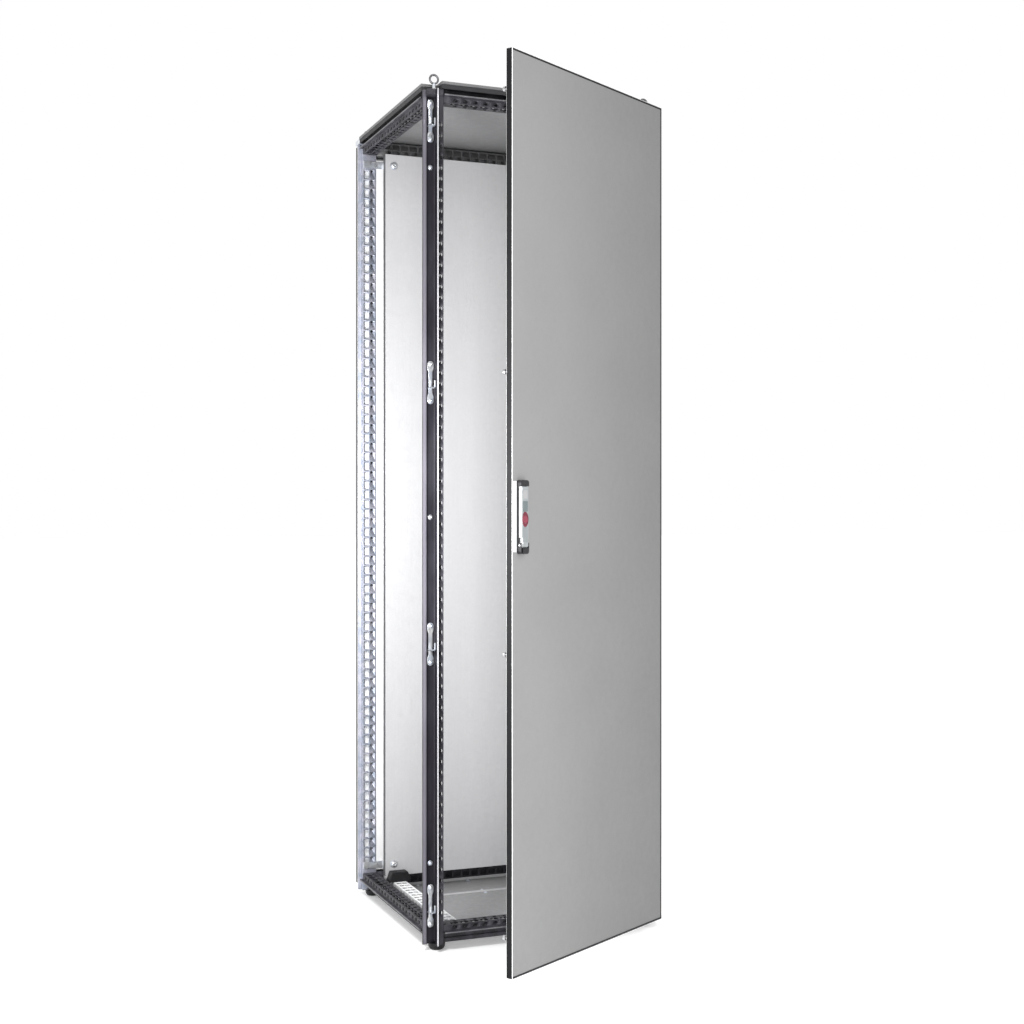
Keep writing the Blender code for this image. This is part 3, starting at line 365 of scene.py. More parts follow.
def solid_mesh(node, name):
    """A CAD node's mesh, welded and with its flat faces joined again."""
    bm = bmesh.new()
    bm.from_mesh(frame["nodes"][node].data)
    bmesh.ops.remove_doubles(bm, verts=bm.verts, dist=2e-6)
    bmesh.ops.dissolve_limit(bm, angle_limit=math.radians(1.0), verts=bm.verts, edges=bm.edges)
    bmesh.ops.recalc_face_normals(bm, faces=bm.faces)
    return mesh_of(bm, name)


def edged(node, material, width, segments=2):
    """Finished copy of a CAD node: the same shape with its edges broken."""
    item = add_piece(f"{node}_finished", solid_mesh(node, node), material, BODY_OF[node], (node,))
    return bevelled(item, width, segments)


# ---------------------------------------------------------------- punched sheet


# A slot is a superellipse: the nearer to zero, the squarer
SLOT_POWER = 0.35


def rounded_outline(outline, radius, closed=True, steps=2):
    """Corners rounded as the sheet is bent.

    Gives (point, band), where band is the flat that starts there.
    """
    edge_share = 0.45
    count = len(outline)
    points = []
    for index in range(count):
        here = Vector(outline[index])
        if not closed and index in (0, count - 1):
            points.append((here, index if index == 0 else None))
            continue
        before = Vector(outline[index - 1])
        after = Vector(outline[(index + 1) % count])
        into = before - here
        out = after - here
        reach = min(radius, into.length * edge_share, out.length * edge_share)
        start = here + into.normalized() * reach
        end = here + out.normalized() * reach
        for step in range(steps + 1):
            share = step / steps
            point = (1 - share) ** 2 * start + 2 * share * (1 - share) * here + share ** 2 * end
            points.append((point, index if step == steps else None))
    return points


def hole_loop(kind, wide, tall, count=12):
    """Round or rounded-rectangular hole about its centre, from its lower left, turning left."""
    loop = []
    for step in range(count):
        turn = -0.75 * math.pi + math.tau * step / count
        across = math.cos(turn)
        up = math.sin(turn)
        if kind == "slot":
            across = math.copysign(abs(across) ** SLOT_POWER, across)
            up = math.copysign(abs(up) ** SLOT_POWER, up)
        loop.append((across * wide / 2, up * tall / 2))
    return loop


def turns_right(outline):
    """True for an outline that runs clockwise."""
    ahead = outline[1:] + outline[:1]
    return sum(a[0] * b[1] - b[0] * a[1] for a, b in zip(outline, ahead)) < 0


def punched_section(outline, punches, start, end, to_world, tones=None, closed=True, margin=0.0):
    """Folded section drawn from start to end, with a row of holes at each pitch.

    punches gives, for a band of the outline, its columns of holes as
    (share across the band, kind, width, height, lift).  tones gives the
    material that a band takes, where it isn't the first.
    """
    tones = tones or {}
    count = len(outline)
    if turns_right(outline):
        outline = list(reversed(outline))
        punches = {
            (count - 2 - band) % count: [(1 - share, *hole) for share, *hole in reversed(columns)]
            for band, columns in punches.items()}
        tones = {(count - 2 - band) % count: index for band, index in tones.items()}
    points = rounded_outline(outline, BEND, closed)
    bm = bmesh.new()
    known = {}
    origin = to_world(0.0, 0.0, 0.0)
    axes = Matrix([
        (Vector(to_world(*unit)) - Vector(origin)) for unit in ((1, 0, 0), (0, 1, 0), (0, 0, 1))])
    mirrored = axes.determinant() < 0

    def vert(u, v, w):
        key = (round(u * 1e6), round(v * 1e6), round(w * 1e6))
        if key not in known:
            known[key] = bm.verts.new(to_world(u, v, w))
        return known[key]

    def face(corners):
        made = []
        for corner in corners:
            item = vert(*corner)
            if item not in made:
                made.append(item)
        if len(made) > 2:
            if mirrored:
                made.reverse()
            bm.faces.new(made).material_index = tone

    first = math.ceil(start / PITCH - 0.5)
    last = math.floor(end / PITCH - 0.5)
    stations = [start] + [(index + 0.5) * PITCH for index in range(first, last + 1)] + [end]
    stations = [w for i, w in enumerate(stations) if i == 0 or w - stations[i - 1] > 1e-5]
    for index, (here, band) in enumerate(points if closed else points[:-1]):
        there = points[(index + 1) % len(points)][0]
        tone = tones.get(band, 0)
        columns = punches.get(band, ()) if band is not None else ()
        shares = [0.0] + [(columns[i][0] + columns[i + 1][0]) / 2 for i in range(len(columns) - 1)] + [1.0]
        for low, high in zip(stations, stations[1:]):
            whole = high - low > PITCH * 0.99 and start + margin < low and high < end - margin
            if not columns or not whole:
                cuts = [here.lerp(there, share) for share in shares]
                bottom = [(p.x, p.y, low) for p in cuts]
                top = [(p.x, p.y, high) for p in reversed(cuts)]
                face(bottom + top)
                continue
            for column, (share, kind, wide, tall, lift) in enumerate(columns):
                a = here.lerp(there, shares[column])
                b = here.lerp(there, shares[column + 1])
                corners = [(a.x, a.y, low), (b.x, b.y, low), (b.x, b.y, high), (a.x, a.y, high)]
                centre = here.lerp(there, share)
                along = (there - here).normalized()
                loop = []
                for across, up in hole_loop(kind, wide, tall):
                    spot = centre + along * across
                    loop.append((spot.x, spot.y, (low + high) / 2 + up + lift))
                quarter = len(loop) // 4
                for side in range(4):
                    ring = [loop[(side * quarter + step) % len(loop)] for step in range(quarter, -1, -1)]
                    face([corners[side], corners[(side + 1) % 4]] + ring)
    return bm


def sheet_piece(name, bm, material, body, replaced, tones=(), inner=None):
    """Open section given its wall.  tones are its other materials, inner that of its inside."""
    item = add_piece(name, mesh_of(bm, name), material, body, replaced)
    for tone in tones:
        item.data.materials.append(tone)
    step = item.modifiers.new("wall", "SOLIDIFY")
    step.thickness = SHEET
    step.offset = -1.0
    step.use_even_offset = True
    if inner is not None:
        item.data.materials.append(inner)
        step.material_offset = len(item.data.materials) - 1
    return item


# ---------------------------------------------------------------- small shapes


def add_box(bm, low, high, transform=STILL):
    """Block between two corners, added to a mesh in the making."""
    low = Vector(low)
    high = Vector(high)
    made = bmesh.ops.create_cube(bm, size=1.0)["verts"]
    bmesh.ops.scale(bm, vec=high - low, verts=made)
    bmesh.ops.translate(bm, vec=(low + high) / 2, verts=made)
    bmesh.ops.transform(bm, matrix=transform, verts=made)


def add_turned(bm, profile, axis, centre, steps=24):
    """Solid turned about an axis from (radius, height) points that start and end on it."""
    turn = Vector((0, 0, 1)).rotation_difference(Vector(axis)).to_matrix().to_4x4()
    stand = Matrix.Translation(centre) @ turn
    loops = []
    for radius, height in profile:
        sides = steps if radius > 0.0 else 1
        angles = [math.tau * step / steps for step in range(sides)]
        loops.append([
            bm.verts.new(stand @ Vector((radius * math.cos(angle), radius * math.sin(angle), height)))
            for angle in angles])
    for lower, upper in zip(loops, loops[1:]):
        for step in range(steps):
            corners = (
                lower[step % len(lower)], lower[(step + 1) % len(lower)],
                upper[(step + 1) % len(upper)], upper[step % len(upper)])
            bm.faces.new(dict.fromkeys(corners))


def add_prism(bm, outline, start, end, to_world):
    """Flat outline drawn out to a closed solid."""
    lower = [bm.verts.new(to_world(u, v, start)) for u, v in outline]
    upper = [bm.verts.new(to_world(u, v, end)) for u, v in outline]
    bm.faces.new(list(reversed(lower)))
    bm.faces.new(upper)
    for index in range(len(outline)):
        after = (index + 1) % len(outline)
        bm.faces.new((lower[index], lower[after], upper[after], upper[index]))


def screw_profile(radius, height):
    """Domed head with a round recess, from its seat out."""
    rim = height * 0.25
    recess = radius * 0.42
    steps = 5
    points = [(0.0, 0.0), (radius, 0.0), (radius, rim)]
    for step in range(1, steps):
        turn = math.pi / 2 * step / steps
        points.append((recess + (radius - recess) * math.cos(turn), rim + (height - rim) * math.sin(turn)))
    return points + [(recess, height), (recess * 0.9, height * 0.45), (0.0, height * 0.4)]


def washer_profile(radius, height):
    """Flat washer with its upper edge broken."""
    return [(0.0, 0.0), (radius, 0.0), (radius, height * 0.7), (radius - height * 0.3, height), (0.0, height)]


def screws(name, spots, axis, radius, height):
    """Domed screws on washers, one piece for a row of them."""
    bm = bmesh.new()
    washer = 0.0008
    for spot in spots:
        add_turned(bm, washer_profile(radius * 1.35, washer), axis, spot)
        head = Vector(spot) + Vector(axis).normalized() * washer
        add_turned(bm, screw_profile(radius, height), axis, head)
    bmesh.ops.recalc_face_normals(bm, faces=bm.faces)
    return add_piece(name, mesh_of(bm, name, 40.0), ZINC, "cabinet")


def between(near, far):
    """Low and high corner of the box between two points."""
    return [min(pair) for pair in zip(near, far)], [max(pair) for pair in zip(near, far)]


def block(name, corners, material, body, edge, segments=2, transform=STILL):
    """Block with broken edges, as a piece of its own."""
    bm = bmesh.new()
    add_box(bm, *corners, transform)
    return bevelled(add_piece(name, mesh_of(bm, name), material, body), edge, segments)


def join_loops(bm, loops):
    """Faces from each loop to the next, and from the last back to the first."""
    for first, second in zip(loops, loops[1:] + loops[:1]):
        for index in range(len(first)):
            after = (index + 1) % len(first)
            bm.faces.new((first[index], first[after], second[after], second[index]))


def rounded_plate(u0, u1, v0, v1, r, steps=4):
    """Rectangle with round corners, turning left from its upper right one."""
    points = []
    centres = ((u1 - r, v1 - r), (u0 + r, v1 - r), (u0 + r, v0 + r), (u1 - r, v0 + r))
    for quarter, (cu, cv) in enumerate(centres):
        for step in range(steps + 1):
            angle = (quarter + step / steps) * math.pi / 2
            points.append((cu + r * math.cos(angle), cv + r * math.sin(angle)))
    return points


# ---------------------------------------------------------------- stage and camera

# Solved from the cabinet's corners in the photo
CAMERA_AT = (-1.376, -3.518, 0.9975)
CAMERA_YAW = math.radians(21.82)
LENS = 51.74
SHIFT = 0.0024

# Power of each lamp in watts, and strength of the surround
FILL = 38.0
KEY = 15.0
SIDE = 17.0
STRIP = 22.0
SURROUND = 1.0
FLOOR_GLOW = 0.22


def set_camera():
    """Long lens, level, from the open side's front corner."""
    data = bpy.data.cameras.new("camera")
    data.lens = LENS
    data.sensor_width = 36.0
    data.shift_y = SHIFT
    item = bpy.data.objects.new("camera", data)
    bpy.context.scene.collection.objects.link(item)
    item.location = CAMERA_AT
    item.rotation_euler = (math.pi / 2, 0.0, -CAMERA_YAW)
    bpy.context.scene.camera = item


def set_light(name, spot, towards, size, power):
    """Rectangular lamp that the camera doesn't see."""
    data = bpy.data.lights.new(name, "AREA")
    data.shape = "RECTANGLE"
    data.size, data.size_y = size
    data.energy = power
    item = bpy.data.objects.new(name, data)
    bpy.context.scene.collection.objects.link(item)
    item.visible_camera = False
    item.location = spot
    item.rotation_euler = (Vector(towards) - Vector(spot)).to_track_quat("-Z", "Y").to_euler()


def set_floor():
    """Pale floor under the feet."""
    n = Nodes("pale_floor")
    mist = n.noise(1.2, 3.0)
    n.set(Base_Color=n.blend(n.spread(mist, 0.0, 1.0), colour(0.95, 0.95, 0.95), colour(0.94, 0.94, 0.94)))
    n.set(Roughness=n.spread(mist, 0.88, 0.95))
    n.shader.inputs["Emission Color"].default_value = colour(1.0, 1.0, 1.0)
    n.shader.inputs["Emission Strength"].default_value = FLOOR_GLOW
    bm = bmesh.new()
    bmesh.ops.create_grid(bm, x_segments=8, y_segments=8, size=60.0)
    low = CAD_BOX[0][2] - 0.0005
    bmesh.ops.translate(bm, vec=(0.0, 0.0, low), verts=bm.verts)
    mesh = mesh_of(bm, "floor")
    mesh.materials.append(n.material)
    floor = bpy.data.objects.new("floor", mesh)
    bpy.context.scene.collection.objects.link(floor)


def set_surround():
    """Even white surround and four soft lamps, one of them a strip at the door's free edge."""
    world = bpy.data.worlds.new("pale_surround")
    world.use_nodes = True
    background = world.node_tree.nodes["Background"]
    background.inputs["Color"].default_value = colour(1.0, 1.0, 1.0)
    background.inputs["Strength"].default_value = SURROUND
    bpy.context.scene.world = world
    bpy.context.scene.view_settings.view_transform = "Standard"
    set_light("fill", (-1.75, -3.9, 1.15), (-0.1, 0.2, 1.05), (1.3, 1.6), FILL)
    set_light("key", (-3.4, -3.0, 2.8), (0.0, 0.1, 1.0), (2.0, 2.0), KEY)
    set_light("side", (-0.75, -0.75, 1.06), (-0.15, 0.2, 1.06), (0.25, 0.4), SIDE)
    edge = door_place(shut_box("door_panel")[0].x, HINGE_AT.y, 1.0)
    outward = DOOR_TURN.to_3x3() @ Vector((0.0, -1.0, 0.0))
    leftward = DOOR_TURN.to_3x3() @ Vector((-1.0, 0.0, 0.0))
    spot = edge + outward * 0.75 + leftward * 0.1
    set_light("strip", spot, spot - outward, (0.12, 2.6), STRIP)


# ---------------------------------------------------------------- frame


def profile_outline():
    """The frame's folded section, as (inward from one face, inward from the other)."""
    far = NOTCH + RIM
    return [
        (PROFILE, PROFILE), (PROFILE, FACE_STEP), (far, FACE_STEP), (far, 0.0),
        (NOTCH, 0.0), (NOTCH, LIP_DEPTH), (POCKET, LIP_DEPTH), (POCKET, POCKET),
        (LIP_DEPTH, POCKET), (LIP_DEPTH, NOTCH), (0.0, NOTCH), (0.0, far),
        (FACE_STEP, far), (FACE_STEP, PROFILE),
    ]


# Holes: kind, width, height and lift above the middle of their pitch
LARGE_HOLE = ("slot", 0.0125, 0.0195, 0.0)
SMALL_HOLE = ("round", 0.0100, 0.0100, 0.0065)
REAR_HOLE = ("round", 0.0066, 0.0066, 0.0095)
ROUND_HOLE = ("round", 0.0085, 0.0085, 0.0)
SLIDE_HOLE = ("slot", 0.0120, 0.0125, 0.0)
# Bands of the section with their columns of holes, each at its share across the band
SECTION_PUNCHES = {
    0: [(0.32,) + SMALL_HOLE, (0.72,) + LARGE_HOLE],
    1: [(0.5,) + ROUND_HOLE],
    12: [(0.5,) + ROUND_HOLE],
    13: [(0.28,) + LARGE_HOLE, (0.68,) + SMALL_HOLE],
}
REAR_PUNCHES = dict(SECTION_PUNCHES)
REAR_PUNCHES[0] = [(0.32,) + REAR_HOLE, (0.72,) + LARGE_HOLE]
REAR_PUNCHES[13] = [(0.28,) + LARGE_HOLE, (0.68,) + REAR_HOLE]
# Bands that take another of the piece's materials: rim 1 painted pale as a highlight, lip 2 painted lighter
# as light, groove 3 painted dark as shade
POST_TONES = {3: 1, 4: 3, 5: 3, 6: 3, 7: 3, 8: 3, 9: 2}
# Rail rims take the painted highlight
RAIL_TONES = {3: 1, 10: 1}
CORNER_CLEAR = 0.050

ROOF_LIP = 0.017
ROOF_EDGE = 0.0065
EYE_NOTCH = 0.038
EYE_FLANGE = 0.0135
EYE_RING = 0.0125
EYE_WIRE = 0.0024
EYE_STEM = 0.0042

PLATE_SLOT_COLUMN = 0.137
PLATE_SLOTS = 8
PLATE_RAIL_WIDTH = 0.0325
PLATING_GAP = 0.00015


def finished_posts():
    """Uprights of punched, folded sheet, each closed by its head block; the rear ones are capped."""
    top = HEIGHT - ROOF_LIP - 0.0004
    head_inset = 0.0075
    hidden = 0.0005
    for row, side_y in ROWS:
        front = row == "front"
        paint = FRAME if front else REAR_ZINC
        for side, side_x in SIDES:
            def corner(a, b, z, sx=side_x, sy=side_y):
                return (sx * (HALF_W - a), sy * (HALF_D - b), z)
            node = f"post_{row}_{side}"
            bm = punched_section(
                # Front posts: rim band painted as a highlight, lip band painted as light, groove bands
                # painted as shade
                profile_outline(), SECTION_PUNCHES if front else REAR_PUNCHES, POST_LOW.z, top, corner,
                POST_TONES if front else None, margin=CORNER_CLEAR)
            # The rear posts' inside is painted white as light seen through their holes
            sheet_piece(
                f"{node}_sheet", bm, paint, "cabinet", (node,),
                tones=(POST_RIM_PAINTED_HIGHLIGHT, POST_LIP_PAINTED_LIGHT, GROOVE_PAINTED_SHADE) if front else (), inner=FRAME if front else INNER_PAINTED_LIGHT)
            near = corner(head_inset, head_inset, FRAME_TOP - 0.030)
            far = corner(PROFILE - hidden, PROFILE - hidden, top)
            block(f"{node}_head", between(near, far), paint, "cabinet", 0.0008)
            if not front:
                near = corner(hidden, hidden, top + 0.0002)
                far = corner(EYE_NOTCH - hidden, EYE_NOTCH - hidden, HEIGHT - 0.0040)
                block(f"{node}_cap", between(near, far), ZINC, "cabinet", 0.0010)


def finished_rail(node, half, to_world, paint=FRAME):
    # Rims painted as a highlight
    bm = punched_section(profile_outline(), SECTION_PUNCHES, -half, half, to_world, RAIL_TONES)
    sheet_piece(f"{node}_sheet", bm, paint, "cabinet", (node,), tones=(RIM_PAINTED_HIGHLIGHT,))


def finished_rails():
    """Rails of the posts' section, their rims painted pale as a highlight; the top rear one painted paler as
    light falling on it.
    """
    for level, datum, up in (("top", FRAME_TOP, -1), ("bottom", POST_LOW.z, 1)):
        for name, sign in ROWS:
            def across(a, b, x, z0=datum, sz=up, sy=sign):
                return (x, sy * (HALF_D - b), z0 + sz * a)
            # The top rear rail takes the paler painted light
            paint = REAR_RAIL_PAINTED_LIGHT if (level, name) == ("top", "rear") else FRAME
            finished_rail(f"rail_{level}_{name}", SPAN_X, across, paint)
        for name, sign in SIDES:
            def along(a, b, y, z0=datum, sz=up, sx=sign):
                return (sx * (HALF_W - b), y, z0 + sz * a)
            finished_rail(f"rail_{level}_{name}", SPAN_Y, along)


def notched(low, high, cut):
    """Rectangle with its four corners cut square, turning left."""
    return [
        (low.x + cut, low.y), (high.x - cut, low.y), (high.x - cut, low.y + cut), (high.x, low.y + cut),
        (high.x, high.y - cut), (high.x - cut, high.y - cut), (high.x - cut, high.y), (low.x + cut, high.y),
        (low.x + cut, high.y - cut), (low.x, high.y - cut), (low.x, low.y + cut), (low.x + cut, low.y + cut)]


def finished_roof():
    """Roof pan, cut away over the posts: top sheet, lip under it painted dark as shade, underside painted
    pale as light.
    """
    low, high = boxed("roof_panel")
    step_z = HEIGHT - ROOF_EDGE

    def level(u, v, w):
        return (u, v, w)
    bm = bmesh.new()
    add_prism(bm, notched(low, high, EYE_NOTCH), step_z, HEIGHT, level)
    bmesh.ops.recalc_face_normals(bm, faces=bm.faces)
    item = add_piece("roof_finished", mesh_of(bm, "roof"), ROOF, "cabinet", ("roof_panel",))
    bevelled(item, 0.0006, 3)
    bm = bmesh.new()
    set_in = Vector((0.0012, 0.0012, 0.0))
    wall = Vector((SHEET, SHEET, 0.0))
    outer = notched(low + set_in, high - set_in, EYE_NOTCH)
    inner = notched(low + set_in + wall, high - set_in - wall, EYE_NOTCH)
    foot = HEIGHT - ROOF_LIP
    crown = step_z - 0.0001
    join_loops(bm, [
        [bm.verts.new((x, y, z)) for x, y in outline]
        for outline, z in ((outer, foot), (outer, crown), (inner, crown), (inner, foot))])
    bmesh.ops.recalc_face_normals(bm, faces=bm.faces)
    # The lip takes the painted shade
    lip = add_piece("roof_lip", mesh_of(bm, "roof_lip"), ROOF_SHADE, "cabinet")
    bevelled(lip, 0.0004)
    reach = PROFILE + 0.0005
    near = (low.x + reach, low.y + reach, step_z - 0.0012)
    far = (high.x - reach, high.y - reach, step_z - 0.0002)
    # The ceiling takes the paler painted light
    block("roof_underside", (near, far), ROOF_UNDER_PAINTED_LIGHT, "cabinet", 0.0003)


def eye_flange(node, foot_at, stem_height):
    """Flange seated on the post's head, and the eye's stem."""
    bm = bmesh.new()
    add_turned(bm, [
        (0.0, 0.0002), (EYE_FLANGE, 0.0002), (EYE_FLANGE, 0.0022), (EYE_FLANGE - 0.001, 0.0030),
        (EYE_STEM + 0.0015, 0.0036), (EYE_STEM, 0.0052), (EYE_STEM * 0.8, stem_height), (0.0, stem_height)],
        (0, 0, 1), foot_at, 32)
    bmesh.ops.recalc_face_normals(bm, faces=bm.faces)
    add_piece(f"{node}_flange", mesh_of(bm, node, 40.0), ZINC, "cabinet", (node,))


def eye_ring(node, centre):
    """Round ring, standing across the cabinet's width."""
    radius = EYE_RING - EYE_WIRE
    sides = 16
    steps = 40
    upright = Matrix.Translation(centre) @ Matrix.Rotation(math.pi / 2, 4, "X")
    bm = bmesh.new()
    loops = []
    for step in range(steps):
        around = Matrix.Rotation(math.tau * step / steps, 4, "Z")
        loop = []
        for side in range(sides):
            turn = math.tau * side / sides
            spot = Vector((radius + EYE_WIRE * math.cos(turn), 0.0, EYE_WIRE * math.sin(turn)))
            loop.append(bm.verts.new(upright @ around @ spot))
        loops.append(loop)
    join_loops(bm, loops)
    bmesh.ops.recalc_face_normals(bm, faces=bm.faces)
    add_piece(f"{node}_ring", mesh_of(bm, node, 40.0), EYE_STEEL, "cabinet")


def finished_eyes():
    """Lifting eyes over the posts, in the roof's cut corners."""
    seat = HEIGHT - ROOF_LIP
    for row, _ in ROWS:
        for side, _ in SIDES:
            node = f"lifting_eye_{row}_{side}"
            low, high = boxed(node)
            middle = (low + high) / 2
            eye_flange(node, (middle.x, middle.y, seat), high.z - 2 * EYE_RING - seat + EYE_WIRE)
            eye_ring(node, (middle.x, middle.y, high.z - EYE_RING))


# ---------------------------------------------------------------- inside


def keeper_outline(lobe, waist, low, high):
    """Lobed strap, turning left from the lower lobe's left side."""
    points = []
    steps = 8
    shoulder = 0.010
    neck = 0.018
    for step in range(steps + 1):
        angle = math.pi + math.pi * step / steps
        points.append((lobe * math.cos(angle), low + lobe + lobe * math.sin(angle)))
    points += [(lobe, low + lobe + shoulder), (waist, low + lobe + neck)]
    points += [(waist, high - lobe - neck), (lobe, high - lobe - shoulder)]
    for step in range(steps + 1):
        angle = math.pi * step / steps
        points.append((lobe * math.cos(angle), high - lobe + lobe * math.sin(angle)))
    points += [(-lobe, high - lobe - shoulder), (-waist, high - lobe - neck)]
    points += [(-waist, low + lobe + neck), (-lobe, low + lobe + shoulder)]
    return points


def finished_keepers():
    """Keepers: lobed base in the groove, shelf and slotted hook, two screws."""
    thick = 0.0025
    cheek = 0.0036
    shelf_drop = 0.014
    hook_rise = 0.004
    for index in range(1, 5):
        node = f"latch_keeper_{index}"
        low, high = boxed(node)
        middle = (low.x + high.x) / 2
        lobe = (high.x - low.x) / 2
        bm = bmesh.new()

        def upright(u, v, w, x0=middle, back=high.y):
            return (x0 + u, back - w, v)
        add_prism(bm, keeper_outline(lobe, lobe * 0.62, low.z, high.z), 0.0, thick, upright)
        bmesh.ops.recalc_face_normals(bm, faces=bm.faces)
        item = add_piece(f"{node}_base", mesh_of(bm, node), ZINC, "cabinet", (node,))
        bevelled(item, 0.0006)
        hook_at = low.z + (high.z - low.z) * 0.5
        shelf = hook_at - shelf_drop
        bm = bmesh.new()
        add_box(bm, (middle - lobe, low.y, shelf), (middle + lobe, high.y - thick, shelf + thick))
        for sign in (-1, 1):
            inner, outer = sorted((sign * cheek, sign * lobe))
            add_box(bm, (middle + inner, low.y, shelf), (middle + outer, low.y + thick, hook_at + hook_rise))
        hook = add_piece(f"{node}_hook", mesh_of(bm, node), ZINC, "cabinet")
        bevelled(hook, 0.0005)
        spots = [(middle, high.y - thick, low.z + lobe), (middle, high.y - thick, high.z - lobe)]
        screws(f"{node}_screws", spots, (0, -1, 0), 0.0040, 0.0030)


def groove_screws():
    """Domed screws in the posts' grooves, three to a post."""
    depth = POCKET - 0.0002
    across = 0.0195
    for row, side_y in ROWS:
        for side, side_x in SIDES:
            spots = []
            for share in (0.0935, 0.4955, 0.902):
                spots.append((side_x * (HALF_W - across), side_y * (HALF_D - depth), HEIGHT * share))
            screws(f"groove_screws_{row}_{side}", spots, (0, side_y, 0), 0.0044, 0.0034)


def cut_plate_slots(item, low):
    """Two columns of level slots near the plate's foot."""
    half_wide = 0.009
    half_tall = 0.0022
    bm = bmesh.new()
    for column in (-PLATE_SLOT_COLUMN, PLATE_SLOT_COLUMN):
        for step in range(PLATE_SLOTS):
            z = low.z + 0.045 + step * PITCH
            add_box(
                bm, (column - half_wide, low.y - 0.01, z - half_tall),
                (column + half_wide, low.y + 0.006, z + half_tall))
    tool = bpy.data.objects.new("slots", mesh_of(bm, "slots"))
    bpy.context.scene.collection.objects.link(tool)
    step = item.modifiers.new("slots", "BOOLEAN")
    step.operation = "DIFFERENCE"
    step.solver = "EXACT"
    step.object = tool
    cut = applied(item)
    cut.shade_smooth()
    cut.set_sharp_from_angle(angle=math.radians(30.0))
    bpy.data.objects.remove(tool, do_unlink=True)


def finished_plate():
    """Mounting plate: folded sides painted dark as shade, slots, and screws at its brackets."""
    node = "mounting_plate"
    low, high = boxed(node)
    item = add_piece(
        "mounting_plate_finished", solid_mesh(node, node), GALVANISED, "cabinet", (node,))
    cut_plate_slots(item, low)
    # The plate's side faces take the painted shade
    item.data.materials.append(PLATE_SHADE)
    for face in item.data.polygons:
        if abs(face.normal.x) > 0.5 and abs(face.center.x) > high.x - 0.0005:
            face.material_index = 1
    bevelled(item, 0.0016, 3, 60.0)
    spots = []
    for sign in (-1, 1):
        for z in (low.z + 0.030, high.z - 0.030):
            spots.append((sign * (high.x - 0.024), low.y, z))
    screws("plate_screws", spots, (0, -1, 0), 0.0075, 0.0045)
    plate_rails(low.z + 0.004, high.z - 0.004)


def plate_rails(bottom, top):
    """Pale angles from the rear posts towards the plate, one at each side."""
    front = HALF_D - PROFILE + 0.0005
    outer = HALF_W - PROFILE - 0.0003
    back = front + SHEET
    for side, sign in SIDES:
        bm = bmesh.new()
        x0, x1 = sorted((sign * outer, sign * (outer - PLATE_RAIL_WIDTH)))
        add_box(bm, (x0, front, bottom), (x1, back, top))
        add_box(bm, (x0, back, bottom), (x0 + SHEET, front + 0.012, top))
        name = f"plate_rail_{side}"
        bevelled(add_piece(name, mesh_of(bm, name), RAIL_WHITE, "cabinet"), 0.0004)


def finished_slides():
    """Punched floor slides of bright zinc."""
    for side, _ in SIDES:
        node = f"floor_slide_{side}"
        low, high = boxed(node)
        outline = [(low.x, low.z), (low.x, high.z), (high.x, high.z), (high.x, low.z)]

        def lengthwise(u, v, y):
            return (u, y, v)
        side_holes = [(0.5,) + ROUND_HOLE]
        top_holes = [(0.28,) + SLIDE_HOLE, (0.72,) + SLIDE_HOLE]
        bm = punched_section(
            outline, {0: side_holes, 1: top_holes, 2: side_holes}, low.y, high.y, lengthwise, closed=False)
        sheet_piece(f"{node}_sheet", bm, SLIDE_ZINC, "cabinet", (node,))


def finished_floor():
    """Gland plates, with upturned rims and a strip over their joint, and their screws."""
    for row, _ in ROWS:
        edged(f"floor_plate_{row}", FLOOR_STEEL, 0.0004)
    low, high = boxed("floor_plate_front")
    rear_low, rear_high = boxed("floor_plate_rear")
    seam = (high.y + rear_low.y) / 2
    top = high.z + 0.0002
    strip_half = 0.006
    clear = 0.0004
    wall = 0.002
    corner = 0.018
    rim = FACE_STEP - 0.0008
    bm = bmesh.new()
    add_box(bm, (low.x, seam - strip_half, top), (high.x, seam + strip_half, top + 0.003))
    for y, sign in ((low.y, 1), (rear_high.y, -1)):
        near, far = sorted((y + sign * clear, y + sign * (wall + clear)))
        add_box(bm, (low.x + corner, near, top), (high.x - corner, far, top + rim))
    strip = add_piece("floor_seam", mesh_of(bm, "floor_seam"), SEAM, "cabinet")
    bevelled(strip, 0.0006)
    spots = []
    for y in (low.y + 0.012, seam - 0.014, seam + 0.014, rear_high.y - 0.012):
        for share in (-0.28, 0.0, 0.28):
            spots.append((share * (high.x - low.x), y, top - 0.0001))
    screws("floor_screws", spots, (0, 0, 1), 0.0035, 0.0022)


def finished_rear():
    """Rear panel: pale paint inside, made paler still as painted light; door grey outside; folds at its sides
    painted dark as shade.
    """
    item = edged("rear_panel", PANEL_INSIDE_PAINTED_LIGHT, 0.0008)
    item.data.materials.append(DOOR_EDGE_PAINTED_SHADE)
    item.data.materials.append(PANEL_BACK)
    for face in item.data.polygons:
        # Side faces take the painted shade; the outside takes the door grey
        if abs(face.normal.x) > 0.5:
            face.material_index = 1
        elif face.normal.y > 0.5:
            face.material_index = 2


def shortened(item, low, high, keep_low, keep_high):
    """Draw a piece's height in to shares of the box that it had."""
    for vert in item.data.vertices:
        share = (vert.co.z - low) / (high - low)
        vert.co.z = low + (high - low) * (keep_low + (keep_high - keep_low) * share)


def finished_inside():
    """Plate brackets, shoes and feet."""
    for level, keep in (("lower", (0.0, 0.42)), ("upper", (0.58, 1.0))):
        for side, _ in SIDES:
            node = f"plate_bracket_{level}_{side}"
            low, high = boxed(node)
            shortened(edged(node, ZINC, 0.0008), low.z, high.z, *keep)
    for side, _ in SIDES:
        node = f"plate_shoe_{side}"
        low, high = boxed(node)
        shortened(edged(node, BLACK, 0.0035, 3), low.z, high.z, 0.0, 0.70)
    for row, _ in ROWS:
        for side, _ in SIDES:
            edged(f"foot_{row}_{side}", BLACK, 0.0006)


